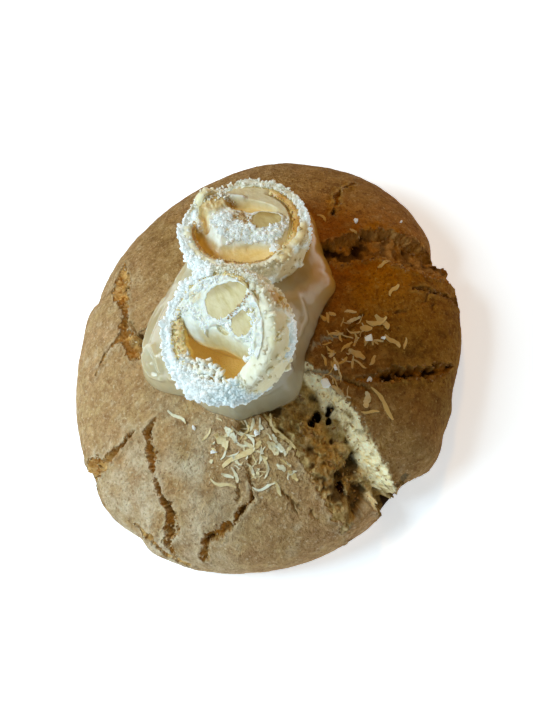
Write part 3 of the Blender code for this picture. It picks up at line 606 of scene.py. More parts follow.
def pores(points, spacing, seed=0.0):
    """1 in the middle of scattered round cells and 0 between them."""
    scaled = np.asarray(points, float) / spacing + seed
    nearest = np.array([noise.voronoi(Vector(point))[0][0] for point in scaled])
    return smooth(1.0 - nearest / 0.55)


def stirred(points, spacing, seeds):
    """Rough noise along each axis."""
    return np.stack([rough(points, spacing, seed, 3) for seed in seeds], -1)


def bell(x, width):
    """1 at 0, falling off to both sides over a width."""
    return np.exp(-((x / width) ** 2))


def round_patch(x, y, middle, spread):
    """1 at a middle, falling off all round it."""
    return np.exp(-(((x - middle[0]) ** 2 + (y - middle[1]) ** 2) / spread))


def flat_points(x, y):
    """Points at height 0."""
    return np.stack([x, y, 0 * x], -1)


def round_turns(columns):
    """Even steps round an axis, in whole turns, and the points of a circle of radius 1 there."""
    turn = np.arange(columns) / columns
    return turn, flat_points(np.cos(turn * math.tau), np.sin(turn * math.tau))


def turned_axes(x, y, at, turn):
    """Places along and across a line through a place, which is turned by turn degrees."""
    heading = math.radians(turn)
    x, y = x - at[0], y - at[1]
    return x * math.cos(heading) + y * math.sin(heading), y * math.cos(heading) - x * math.sin(heading)


def profile_curve():
    """Reach, share of the widest radius, and height, from the top of the crust to its base."""
    top = np.linspace(0.0, math.pi / 2, 120)
    side = np.linspace(0.0, math.pi / 2, 60)[1:]
    share = np.concatenate([np.sin(top) ** CROWN_FULLNESS, FOOT + (1 - FOOT) * np.cos(side)])
    dome = SHOULDER + (HEIGHT - SHOULDER) * np.cos(top) ** CROWN_DROP
    height = np.concatenate([dome, SHOULDER * (1 - np.sin(side) ** FOOT_ROUNDING)])
    steps = np.hypot(np.diff(share) * MIDDLE_RADIUS, np.diff(height))
    reach = np.concatenate([[0.0], np.cumsum(steps)])
    return reach / reach[-1], share, height


REACH, SHARE, LEVEL = profile_curve()
WIDEST = int(np.argmax(SHARE))


def lumps(x, y, reach):
    """Broad unevenness, with the seat of the rear half pressed in."""
    rise = LUMP_HEIGHT * ripple(flat_points(x, y), LUMP_SPACING, 3.7) * smooth((LUMP_END - reach) / 0.25)
    seat = HALVES["rear"]["middle"]
    distance = np.hypot(x - seat[0], y - seat[1])
    return rise - SEAT_DEPTH * smooth((SEAT_RADIUS - distance) / 10.0)


def edge_break(bearing):
    """How far the outline is set in where it breaks, at bearings in radians."""
    inset = np.zeros_like(bearing)
    for at, depth, before, after in EDGE_BREAKS:
        away = (np.degrees(bearing) - at + 180.0) % 360.0 - 180.0
        inset += depth * smooth(1.0 - np.where(away < 0, -away / before, away / after))
    return inset


def crust(bearing, reach):
    """Points of the crust before it cracks, one row each. Bearing is in radians."""
    radius = ring_curve(PLAN_RADII, bearing / math.tau) - edge_break(bearing) * smooth((reach - 0.5) / 0.3)
    radius = radius * np.interp(reach, REACH, SHARE)
    x = radius * np.cos(bearing)
    y = radius * np.sin(bearing)
    z = np.interp(reach, REACH, LEVEL) + lumps(x, y, reach)
    return np.stack([x, y, z], axis=-1)


def crust_normal(bearing, reach):
    """Outward directions of the crust before it cracks."""
    reach = np.clip(reach, 0.01, 0.99)
    step = 0.004
    along = crust(bearing, reach + step) - crust(bearing, reach - step)
    round_it = crust(bearing + step, reach) - crust(bearing - step, reach)
    normal = np.cross(along, round_it)
    return normal / np.linalg.norm(normal, axis=-1, keepdims=True)


def crust_height(x, y):
    """Height of the uncracked crust over a plan position inside its widest ring."""
    widest = ring_curve(PLAN_RADII, np.arctan2(y, x) / math.tau)
    share = np.clip(np.hypot(x, y) / widest, 0.0, 1.0)
    reach = np.interp(share, SHARE[: WIDEST + 1], REACH[: WIDEST + 1])
    return np.interp(reach, REACH, LEVEL) + lumps(x, y, reach)


def near_line(points, line):
    """Distance to a line of points, side of it, and how far along it from 0 to 1."""
    nearest = np.full(len(points), 1e9)
    side = np.zeros(len(points))
    along = np.zeros(len(points))
    for index in range(len(line) - 1):
        start, run = line[index], line[index + 1] - line[index]
        share = np.clip((points - start) @ run / (run @ run), 0.0, 1.0)
        offset = points - start - share[:, None] * run
        distance = np.linalg.norm(offset, axis=1)
        closer = distance < nearest
        nearest[closer] = distance[closer]
        side[closer] = (run[0] * offset[:, 1] - run[1] * offset[:, 0])[closer]
        along[closer] = ((index + share) / (len(line) - 1))[closer]
    return nearest, side, along


def along_course(values, along):
    """Evenly spaced values along a course, read at shares of its length."""
    return np.interp(along, np.linspace(0, 1, len(values)), values)


def course_line(course):
    """Points of a course of (bearing in degrees, reach) on the crust."""
    course = np.array(course, float)
    return crust(np.radians(course[:, 0]), course[:, 1])


def half_frame(half):
    """Where a half lies: its own +Z is the normal of its cut face."""
    normal = Vector(half["normal"]).normalized()
    across = (ACROSS - ACROSS.dot(normal) * normal).normalized()
    turned = Matrix((across, normal.cross(across), normal)).transposed()
    return np.array(turned), np.array(half["middle"])


def placed(points, half):
    """Points given in a half's own frame, in the frame of the whole."""
    turned, middle = half_frame(half)
    return np.asarray(points) @ turned.T + middle


# ---------------------------------------------------------------- finishes


class Finish:
    """A procedural material that is built up node by node."""

    def __init__(self, name, **sockets):
        self.material = bpy.data.materials.new(name)
        self.material.use_nodes = True
        self.tree = self.material.node_tree
        self.shader = self.tree.nodes["Principled BSDF"]
        for socket, value in sockets.items():
            self.shader.inputs[socket.replace("_", " ").title().replace("Ior", "IOR")].default_value = value
        self.place = self.tree.nodes.new("ShaderNodeTexCoord").outputs["Object"]

    def node(self, kind, inputs, output=0, **settings):
        """Adds a node, sets or links its inputs, and gives one of its outputs."""
        made = self.tree.nodes.new(kind)
        for name, value in settings.items():
            setattr(made, name, value)
        for key, value in inputs.items():
            if isinstance(value, bpy.types.NodeSocket):
                self.tree.links.new(value, made.inputs[key])
            else:
                made.inputs[key].default_value = value
        return made.outputs[output]

    def noise(self, size, detail=2.0, roughness=0.5, stretch=None):
        """Noise whose features are about size millimetres across."""
        place = self.place
        if stretch:
            place = self.node("ShaderNodeMapping", {"Vector": place, "Scale": stretch})
        inputs = {"Vector": place, "Scale": 1.0 / (size * MM), "Detail": detail, "Roughness": roughness}
        return self.node("ShaderNodeTexNoise", inputs)

    def cells(self, size):
        """Distance to the nearest of scattered points about size millimetres apart."""
        return self.node("ShaderNodeTexVoronoi", {"Vector": self.place, "Scale": 1.0 / (size * MM)})

    def tag(self, name):
        """A value that the mesh carries at its points."""
        return self.node("ShaderNodeAttribute", {}, "Fac", attribute_name=name)

    def remap(self, value, low, high, new_low=0.0, new_high=1.0):
        """Maps low..high to new_low..new_high and clamps."""
        inputs = {"Value": value, "From Min": low, "From Max": high, "To Min": new_low, "To Max": new_high}
        return self.node("ShaderNodeMapRange", inputs)

    def sum(self, a, b, kind="ADD"):
        return self.node("ShaderNodeMath", {0: a, 1: b}, operation=kind)

    def mix(self, factor, a, b):
        """Mixes two colours by a factor."""
        made = self.tree.nodes.new("ShaderNodeMix")
        made.data_type = "RGBA"
        for key, value in ((0, factor), (6, a), (7, b)):
            if isinstance(value, bpy.types.NodeSocket):
                self.tree.links.new(value, made.inputs[key])
            else:
                made.inputs[key].default_value = (*value, 1.0) if key else value
        return made.outputs[2]

    def paint(self, colour):
        self.tree.links.new(colour, self.shader.inputs["Base Color"])

    def painted_glow(self, colour, strength):
        """Painted light: light of its own that stands in for light bounced into hollows and shining through
        thin walls.
        """
        self.tree.links.new(colour, self.shader.inputs["Emission Color"])
        self.shader.inputs["Emission Strength"].default_value = strength

    def bump(self, height, depth, strength=1.0):
        """Fine relief: height from 0 to 1 stands for depth millimetres."""
        inputs = {"Height": height, "Distance": depth * MM, "Strength": strength}
        made = self.node("ShaderNodeBump", inputs)
        self.tree.links.new(made, self.shader.inputs["Normal"])


def soft_light(finish, weight, scale, radius):
    """Lets light travel a little way under the surface."""
    finish.shader.inputs["Subsurface Weight"].default_value = weight
    finish.shader.inputs["Subsurface Scale"].default_value = scale * MM
    finish.shader.inputs["Subsurface Radius"].default_value = radius


def crust_finish():
    """Baked crust and crack crumb, told apart by what the mesh carries, with painted light and shade."""
    made = Finish("baked_crust", roughness=0.72, specular_ior_level=0.03)
    brown = made.tag("brown")
    floury_sheen = made.tag("floury_sheen")
    crumb = made.tag("crumb")
    pale = made.tag("pale")
    deep = made.tag("deep")
    broad = made.remap(made.noise(7.0, 4.0, 0.6), 0.36, 0.64)
    patches = made.remap(made.noise(1.9, 5.0, 0.66), 0.36, 0.66)
    grain = made.noise(0.65, 3.0, 0.7)
    tan = made.mix(broad, (0.71, 0.435, 0.215), (0.685, 0.455, 0.205))
    tan = made.mix(patches, tan, (0.47, 0.265, 0.110))
    # Painted sheen: the floury crust at the lower left is paler, partly as sheen from the lamps there.
    floury_sheen_colour = made.mix(patches, (0.88, 0.74, 0.53), (0.70, 0.51, 0.30))
    tan = made.mix(floury_sheen, tan, floury_sheen_colour)
    # Baked is partly browning and partly painted shade on the side away from the window; amber partly paints
    # warm light.
    baked = made.mix(broad, (0.385, 0.205, 0.036), (0.325, 0.165, 0.029))
    baked = made.mix(patches, baked, (0.20, 0.095, 0.014))
    amber = made.mix(patches, (0.58, 0.205, 0.0), (0.38, 0.125, 0.0))
    baked = made.mix(made.tag("amber"), baked, amber)
    skin = made.mix(brown, tan, baked)
    dark_grain = made.mix(brown, (0.30, 0.14, 0.05), (0.11, 0.04, 0.004))
    light_grain = made.mix(brown, (0.92, 0.76, 0.52), (0.62, 0.36, 0.08))
    blotches = made.noise(3.6, 4.0, 0.62)
    skin = made.mix(made.remap(blotches, 0.46, 0.34, 0.0, 0.45), skin, dark_grain)
    skin = made.mix(made.remap(blotches, 0.56, 0.68, 0.0, 0.40), skin, light_grain)
    skin = made.mix(made.remap(grain, 0.45, 0.30, 0.0, 0.75), skin, dark_grain)
    skin = made.mix(made.remap(grain, 0.57, 0.70, 0.0, 0.75), skin, light_grain)
    # Painted highlight: the lips of the cracks are lighter.
    skin = made.mix(made.sum(made.tag("lip"), 0.55, "MULTIPLY"), skin, light_grain)
    skin = made.mix(made.remap(made.cells(3.4), 0.05, 0.10, 0.6, 0.0), skin, light_grain)
    skin = made.mix(made.remap(made.cells(2.6), 0.04, 0.09, 0.8, 0.0), skin, dark_grain)
    lumps_in = made.remap(made.noise(1.1, 5.0, 0.68), 0.34, 0.66)
    golden = made.mix(lumps_in, (0.46, 0.19, 0.02), (0.80, 0.48, 0.13))
    golden = made.mix(brown, golden, made.mix(lumps_in, (0.24, 0.080, 0.0), (0.56, 0.24, 0.0)))
    golden = made.mix(made.tag("split"), golden, made.mix(lumps_in, (0.21, 0.095, 0.006), (0.68, 0.45, 0.13)))
    light = made.mix(lumps_in, (0.78, 0.60, 0.26), (0.98, 0.94, 0.72))
    inside = made.mix(pale, golden, light)
    # Painted shade: the deep tag darkens crack middles, holes, hairlines and pits to a very dark brown.
    inside = made.mix(deep, inside, (0.035, 0.016, 0.005))
    made.paint(made.mix(crumb, skin, inside))
    # Painted light: the crumb shines warm, brightest on the pale cliff and not where painted shade lies.
    painted_crumb_light = made.mix(brown, (0.60, 0.24, 0.012), (0.30, 0.10, 0.0))
    painted_crumb_light = made.mix(made.tag("split"), painted_crumb_light, (0.16, 0.10, 0.02))
    painted_crumb_light = made.mix(made.remap(pale, 0.4, 0.9), painted_crumb_light, (1.6, 1.5, 0.95))
    painted_crumb_light = made.mix(deep, painted_crumb_light, (0.0, 0.0, 0.0))
    made.painted_glow(made.mix(crumb, (0.0, 0.0, 0.0), painted_crumb_light), 0.10)
    relief = made.sum(made.sum(grain, 0.7, "MULTIPLY"), made.noise(2.4, 6.0, 0.68))
    relief = made.sum(relief, made.sum(made.cells(1.5), 0.25, "MULTIPLY"))
    made.bump(made.sum(relief, made.remap(crumb, 0.0, 1.0, 1.0, 0.45), "MULTIPLY"), 1.1)
    soft_light(made, 0.06, 0.8, (1.0, 0.5, 0.25))
    return made.material


def coconut_finish():
    """Toasted shreds, each with a tone of its own."""
    made = Finish("toasted_coconut", roughness=0.5, specular_ior_level=0.4)
    tone = made.tag("tone")
    colour = made.mix(tone, (0.74, 0.50, 0.18), (0.90, 0.85, 0.64))
    colour = made.mix(made.remap(made.noise(0.8, 3.0), 0.45, 0.7, 0.0, 0.5), colour, (0.66, 0.42, 0.14))
    made.paint(colour)
    made.bump(made.noise(0.4, 2.0), 0.08)
    soft_light(made, 0.3, 0.8, (1.0, 0.8, 0.5))
    return made.material


def snow_finish():
    """White desiccated coconut, cream-stained where smeared and brown where wafer shows, with painted shade
    and light.
    """
    made = Finish("white_coconut", roughness=0.55, specular_ior_level=0.45)
    smear = made.tag("smear")
    toast = made.tag("toast")
    mottle = made.remap(made.noise(1.1, 4.0, 0.6), 0.35, 0.68)
    shade = made.tag("shade")
    white = made.mix(mottle, (0.92, 0.97, 0.98), (0.96, 0.98, 0.99))
    # Painted shade: bluish grey low at the front of the front half.
    white = made.mix(shade, white, made.mix(mottle, (0.66, 0.76, 0.76), (0.76, 0.84, 0.84)))
    cream = made.mix(mottle, (0.86, 0.83, 0.60), (0.82, 0.76, 0.48))
    wafer = made.mix(mottle, (0.74, 0.52, 0.18), (0.52, 0.30, 0.06))
    colour = made.mix(smear, white, cream)
    made.paint(made.mix(made.remap(toast, 0.15, 0.8), colour, wafer))
    # Painted light: a cool light of its own that lightens the shade between the grains.
    painted_fill_light = made.mix(smear, made.mix(shade, (0.82, 0.96, 0.92), (0.42, 0.54, 0.54)), (0.34, 0.28, 0.10))
    made.painted_glow(made.mix(made.remap(toast, 0.15, 0.8), painted_fill_light, (0.15, 0.08, 0.01)), 0.13)
    made.bump(made.noise(0.6, 3.0, 0.6), 0.08)
    soft_light(made, 0.9, 1.8, (1.0, 0.98, 0.95))
    return made.material


def cream_finish():
    """Glossy pale cream, with painted warm light at the right and painted shade low at the front."""
    made = Finish("glossy_cream", roughness=0.24, coat_weight=0.35, coat_roughness=0.08)
    tone = made.remap(made.noise(9.0, 2.0), 0.35, 0.65)
    ivory = made.mix(tone, (0.535, 0.425, 0.24), (0.61, 0.52, 0.335))
    # Painted shade dulls the ivory low at the front; painted warm light colours the right.
    ivory = made.mix(made.tag("low"), ivory, made.mix(tone, (0.36, 0.30, 0.18), (0.42, 0.37, 0.25)))
    made.paint(made.mix(made.tag("warm"), ivory, made.mix(tone, (0.66, 0.34, 0.04), (0.62, 0.37, 0.08))))
    made.bump(made.noise(2.4, 3.0), 0.18)
    soft_light(made, 0.45, 3.0, (1.0, 0.72, 0.40))
    return made.material


def wafer_finish():
    """Thin baked wafer: golden and slightly oily inside with painted light there, grainy at its rim, toasted
    in patches.
    """
    made = Finish(
        "golden_wafer", roughness=0.38, specular_ior_level=0.5, coat_weight=0.25, coat_roughness=0.2
    )
    toast = made.tag("toast")
    inner = made.tag("inner")
    pale = made.tag("pale")
    patches = made.remap(made.noise(2.2, 4.0, 0.6), 0.35, 0.68)
    grains = made.remap(made.noise(0.45, 2.0, 0.6), 0.35, 0.65)
    gold = made.mix(patches, (0.82, 0.61, 0.21), (0.76, 0.52, 0.14))
    crumbs = made.mix(grains, (0.78, 0.54, 0.19), (0.92, 0.75, 0.42))
    colour = made.mix(inner, crumbs, gold)
    colour = made.mix(pale, colour, (0.88, 0.84, 0.66))
    colour = made.mix(toast, colour, made.mix(grains, (0.50, 0.22, 0.02), (0.70, 0.40, 0.09)))
    made.paint(colour)
    # Painted light: the inside of the wafer shines golden to lighten its hollow.
    made.painted_glow(made.mix(inner, (0.0, 0.0, 0.0), (0.80, 0.56, 0.13)), 0.17)
    made.bump(grains, 0.08)
    soft_light(made, 0.35, 1.5, (1.0, 0.6, 0.2))
    return made.material


def filling_finish():
    """White milk cream: snowy on top, beige on its smooth side, golden where that is thin."""
    made = Finish("milk_filling", roughness=0.42, coat_weight=0.2, coat_roughness=0.15)
    beige = made.tag("beige")
    gold = made.tag("gold")
    crumb = made.tag("crumb")
    tone = made.remap(made.noise(1.6, 3.0), 0.35, 0.65)
    white = made.mix(tone, (0.75, 0.74, 0.62), (0.86, 0.87, 0.79))
    colour = made.mix(beige, white, made.mix(tone, (0.64, 0.51, 0.25), (0.70, 0.60, 0.35)))
    colour = made.mix(gold, colour, made.mix(tone, (0.80, 0.58, 0.20), (0.86, 0.67, 0.31)))
    grains = made.remap(made.noise(0.6, 3.0, 0.6), 0.38, 0.62)
    colour = made.mix(crumb, colour, made.mix(grains, (0.52, 0.34, 0.13), (0.80, 0.70, 0.44)))
    made.paint(colour)
    made.bump(made.noise(0.8, 3.0, 0.55), 0.14)
    soft_light(made, 0.4, 1.4, (1.0, 0.80, 0.48))
    return made.material


def almond_finish():
    """Cut almond: pale and faintly streaked, darker on its sides and towards one edge of its face."""
    made = Finish("cut_almond", roughness=0.40, specular_ior_level=0.45)
    edge = made.tag("edge")
    streaks = made.noise(1.2, 3.0, 0.6, stretch=(1.0, 0.35, 1.0))
    pale = made.mix(made.remap(streaks, 0.35, 0.65), (0.55, 0.43, 0.175), (0.65, 0.545, 0.27))
    made.paint(made.mix(edge, pale, (0.38, 0.26, 0.075)))
    made.bump(streaks, 0.2)
    soft_light(made, 0.2, 1.2, (1.0, 0.85, 0.5))
    return made.material


def crumbs_finish(name, light, dark):
    """Loose crumbs of two tones."""
    made = Finish(name, roughness=0.8, specular_ior_level=0.25)
    made.paint(made.mix(made.tag("tone"), dark, light))
    made.bump(made.noise(0.3, 3.0), 0.1)
    return made.material


# ---------------------------------------------------------------- meshes


def add_piece(name, points, faces, finish, slot, nodes=(), tags=None, sharp=None):
    """A piece from points in millimetres. tags are values that its material reads.

    Edges that turn by more than sharp degrees are shaded as edges.
    """
    mesh = bpy.data.meshes.new(name)
    mesh.from_pydata((np.asarray(points) * MM).tolist(), [], [list(map(int, face)) for face in faces])
    mesh.validate()
    mesh.shade_smooth()
    if sharp:
        mesh.set_sharp_from_angle(angle=math.radians(sharp))
    mesh.materials.append(finish)
    for key, values in (tags or {}).items():
        layer = mesh.attributes.new(key, "FLOAT", "POINT")
        layer.data.foreach_set("value", np.asarray(values, np.float32))
    made = bpy.data.objects.new(name, mesh)
    bpy.context.scene.collection.objects.link(made)
    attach(made, BODY)
    if nodes:
        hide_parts(*nodes)
    return made


def grid_faces(rows, columns, start=0):
    """Quads of a grid whose columns close on themselves."""
    row = np.arange(rows - 1)[:, None] * columns
    column = np.arange(columns)[None, :]
    following = (column + 1) % columns
    quads = np.stack([row + column, row + following, row + columns + following, row + columns + column], -1)
    return (start + quads.reshape(-1, 4)).tolist()


def tube_faces(stations, sides):
    """Faces of a tube of rings with closed ends."""
    first = list(range(sides))[::-1]
    last = list(range((stations - 1) * sides, stations * sides))
    return grid_faces(stations, sides) + [first, last]


def ring_numbers(columns, first, last):
    """Numbers of the points of the rings from first to before last, in a closed shape."""
    return np.arange(1 + columns * first, 1 + columns * last)


def closed(first, rings, last, from_top=False):
    """Points and faces of rings that close at a first and a last point, upwards or from the top."""
    rows, columns = len(rings), len(rings[0])
    faces = grid_faces(rows, columns, start=1)
    end = rows * columns + 1
    for column in range(columns):
        following = (column + 1) % columns
        faces.append((0, 1 + following, 1 + column))
        faces.append((end, end - columns + column, end - columns + following))
    if from_top:
        faces = [face[::-1] for face in faces]
    return np.concatenate([[first], *rings, [last]]), faces


def join(parts):
    """Points and faces of several (points, faces) as one mesh."""
    points, faces, count = [], [], 0
    for part_points, part_faces in parts:
        points.append(part_points)
        faces += [[corner + count for corner in face] for face in part_faces]
        count += len(part_points)
    return np.concatenate(points), faces


def read_shape(shape):
    """Points and faces of a bmesh, which is then freed."""
    points = np.array([vertex.co for vertex in shape.verts])
    faces = [[vertex.index for vertex in face.verts] for face in shape.faces]
    shape.free()
    return points, faces


def lump_shape(seed):
    """Points and faces of one small rounded lump, about 1 across."""
    shape = bmesh.new()
    bmesh.ops.create_icosphere(shape, subdivisions=2, radius=0.5)
    points, faces = read_shape(shape)
    swell = 1.0 + 0.45 * ripple(points, 0.45, 7.3 * seed) + 0.2 * ripple(points, 0.2, 3.1 * seed)
    return points * swell[:, None], faces


def flake_shape(seed, size, corners=11):
    """Points and faces of one angular flake, about 1 across: the hull of a few random points."""
    cloud = np.random.default_rng(seed).normal(size=(corners, 3))
    cloud /= np.linalg.norm(cloud, axis=1, keepdims=True)
    shape = bmesh.new()
    for place in cloud:
        shape.verts.new(place * np.array(size) / 2)
    bmesh.ops.convex_hull(shape, input=shape.verts)
    bmesh.ops.recalc_face_normals(shape, faces=shape.faces)
    shape.verts.index_update()
    return read_shape(shape)


def outward(points, faces):
    """Faces turned so that a closed shape's own point outwards."""
    volume = 0.0
    for face in faces:
        for second, third in zip(face[1:], face[2:]):
            volume += np.linalg.det(points[[face[0], second, third]])
    return faces if volume > 0 else [face[::-1] for face in faces]


def random_turns(rng, count):
    """Random rotation matrices."""
    q = rng.normal(size=(count, 4))
    q /= np.linalg.norm(q, axis=1, keepdims=True)
    w, x, y, z = q.T
    rows = [
        [1 - 2 * (y * y + z * z), 2 * (x * y - z * w), 2 * (x * z + y * w)],
        [2 * (x * y + z * w), 1 - 2 * (x * x + z * z), 2 * (y * z - x * w)],
        [2 * (x * z - y * w), 2 * (y * z + x * w), 1 - 2 * (x * x + y * y)],
    ]
    return np.array(rows).transpose(2, 0, 1)


def scatter(places, sizes, rng, shapes, flatten=1.0):
    """Copies of small shapes at places, turned at random, as one mesh."""
    count = len(places)
    turns = random_turns(rng, count)
    pick = rng.integers(0, len(shapes), count)
    squeeze = np.stack([np.ones(count), rng.uniform(0.7, 1.0, count), np.full(count, flatten)], 1)
    parts = []
    for place, size, turn, shape, scale in zip(places, sizes, turns, pick, squeeze):
        points, faces = shapes[shape]
        parts.append((points * scale * size @ turn.T + place, faces))
    return join(parts)


# ---------------------------------------------------------------- the cookie


def square_to_disc(u, v):
    """Bearing and reach of points of a square that is bent into a disc."""
    reach = np.maximum(np.abs(u), np.abs(v))
    flat = np.where(reach > 0, reach, 1.0)
    turn = np.where(np.abs(u) >= np.abs(v), v / flat, 2.0 - u / flat) * math.pi / 4
    turn = np.where((np.abs(u) >= np.abs(v)) & (u < 0), math.pi - v / flat * math.pi / 4, turn)
    turn = np.where((np.abs(u) < np.abs(v)) & (v < 0), -math.pi / 2 + u / flat * math.pi / 4, turn)
    return turn, reach


def crack_marks(points):
    """What the cracks do at each point, as five values.

    They are the depth, the distance inside the edge, the pale share, how much painted shade darkens the
    middle of a narrow crack, and 1 in the split.
    """
    jag = CRACK_JAG * ripple(points, CRACK_JAG_SPACING, 9.4)
    chips = sum(strength * ripple(points, spacing, seed) for strength, spacing, seed in CHIPS)
    depth, pale, crack_shade, split = np.zeros((4, len(points)))
    inside = np.full(len(points), -9.0)
    for name, crack in CRACKS.items():
        nearest, side, along = near_line(points, course_line(crack["course"]))
        deep = along_course(crack["depths"], along)
        narrow = along_course(crack["widths"], along)
        steep = crack["steep"] * (0.5 + 0.5 * deep / max(crack["depths"])) * narrow
        width = np.where(side > 0, steep, crack["gentle"] * narrow)
        edge = width - nearest - jag - chips * np.clip(0.45 * width + 0.12, 0.2, 0.65)
        ramp = np.where(side > 0, 0.75, 0.85) * width if name == "split" else 0.4 * width + 0.2
        depth = np.maximum(depth, deep * smooth(edge / ramp))
        cliff = np.where(side > 0, smooth(nearest / width / CLIFF_SHARE), 0.0)
        wall = SPLIT_PALE + CLIFF_PALE * cliff if name == "split" else crack["pale"]
        pale = np.where(edge > inside, wall, pale)
        middle = along_course(crack["dark"], along) * np.clip(edge / (0.75 * width + 0.1), 0.0, 1.0)
        crack_shade = np.where(edge > inside, middle, crack_shade)
        split = np.where(edge > inside, float(name == "split"), split)
        inside = np.maximum(inside, edge)
    return depth, inside, pale, crack_shade, split


def hairline_depth(points):
    """Depth of the hairline cracks."""
    depth = np.zeros(len(points))
    wander = 0.5 * ripple(points, 1.6, 2.2) + 0.25 * ripple(points, 0.6, 6.2)
    gaps = 0.4 + 0.6 * smooth(0.6 + 1.4 * ripple(points, 2.2, 1.9))
    for course in HAIRLINES:
        nearest, side, _ = near_line(points, course_line(course))
        nearest = np.abs(nearest * np.sign(side) + wander)
        ends = np.linalg.norm(points - course_line(course)[0], axis=1)
        groove = smooth(1.0 - nearest / HAIRLINE_WIDTH) * (ends < HAIRLINE_LONGEST)
        depth = np.maximum(depth, HAIRLINE_DEPTH * gaps * groove)
    return depth


def refined_square(cells, wanted):
    """A square grid that is split finer wherever one of the wanted tests says so."""
    shape = bmesh.new()
    bmesh.ops.create_grid(shape, x_segments=cells, y_segments=cells, size=1.0)
    for test in wanted:
        shape.faces.ensure_lookup_table()
        middles = np.array([face.calc_center_median()[:2] for face in shape.faces])
        bearing, reach = square_to_disc(middles[:, 0], middles[:, 1])
        chosen = test(crust(bearing, reach))
        edges = {edge for face, take in zip(shape.faces, chosen) if take for edge in face.edges}
        bmesh.ops.subdivide_edges(shape, edges=list(edges), cuts=1, use_grid_fill=True)
    bmesh.ops.triangulate(shape, faces=[face for face in shape.faces if len(face.verts) > 4])
    shape.verts.index_update()
    following = {}
    for edge in shape.edges:
        if edge.is_boundary:
            loop = edge.link_loops[0]
            following[loop.link_loop_next.vert.index] = loop.vert.index
    start = next(iter(following))
    ring = [start]
    while following[ring[-1]] != start:
        ring.append(following[ring[-1]])
    points, faces = read_shape(shape)
    return points[:, :2], faces + [ring]


def add_pits(points, depth, crumb):
    """Depth and crumb with the holes added, and the painted shade in the holes."""
    pit_shade = np.zeros(len(points))
    for bearing, reach, radius, pit_depth, shade_strength in PITS:
        middle = crust(np.radians([bearing]), np.array([reach]))[0]
        ragged = np.linalg.norm(points - middle, axis=1) + 0.7 * ripple(points, 1.3, 3.6)
        hole = smooth(1.6 - 1.6 * ragged / radius)
        depth = depth + pit_depth * hole
        crumb = np.maximum(crumb, smooth(3.0 * hole))
        pit_shade = np.maximum(pit_shade, shade_strength * smooth(1.5 * hole))
    return depth, crumb, pit_shade


def crumb_relief(points, depth, inside, pale, split):
    """Rise of the crumb's lumps, depth of its holes, and how wide the crack is, from 0 to 1."""
    wide = np.maximum(smooth((depth - 2.4) / 2.6), 0.8 * smooth((inside - 0.7) / 1.5))
    lumps_in = (0.40 + 0.9 * wide) * rough(points, 3.0, 6.6, 3)
    lumps_in += (0.30 - 0.14 * split) * rough(points, 0.9, 3.3, 3)
    lumps_in += SPLIT_LUMPS * split * wide * ripple(points, 5.2, 4.9)
    holes = (0.5 + 0.8 * wide) * pores(points, 2.5, 0.7) * smooth(2.2 * ripple(points, 3.1, 8.2))
    floor = split * smooth((0.6 - pale) / 0.2)
    holes += CAVITY_DEPTH * wide * floor * smooth(2.6 * ripple(points, 4.4, 2.4) - 0.2)
    return np.minimum(lumps_in, 0.75 * depth), holes, wide


def crust_tones(points, inside):
    """How brown, floury and amber the crust is at each point, partly painted shade, sheen and warm light."""
    x, y = points[:, 0], points[:, 1]
    # The brown is partly browning and partly painted shade away from the window; amber and the floury patch
    # partly paint warm light and sheen.
    brown = 0.04 + 1.1 * round_patch(x, y, BROWN_AND_SHADE_MIDDLE, BROWN_AND_SHADE_SPREAD)
    brown += 0.50 * smooth((y + 2) / 34.0) * smooth((x + 36) / 34.0) + 0.16 * ripple(points, 14.0, 4.2)
    brown += 0.30 * bell(inside + 0.9, 0.8) * smooth(ripple(points, 4.0, 1.5) + 0.4)
    from_sheen = np.hypot(x - FLOURY_SHEEN_MIDDLE[0], y - FLOURY_SHEEN_MIDDLE[1])
    floury_sheen = 0.75 * smooth((FLOURY_SHEEN_REACH - from_sheen) / 18.0) * smooth(0.55 + 1.2 * ripple(points, 5.0, 7.4))
    amber = 1.1 * round_patch(x, y, AMBER_AND_WARM_LIGHT_MIDDLE, AMBER_AND_WARM_LIGHT_SPREAD) + 0.2 * ripple(points, 9.0, 2.6)
    tones = {"brown": brown, "floury_sheen": floury_sheen, "amber": amber}
    return {name: np.clip(tone, 0, 1) for name, tone in tones.items()}


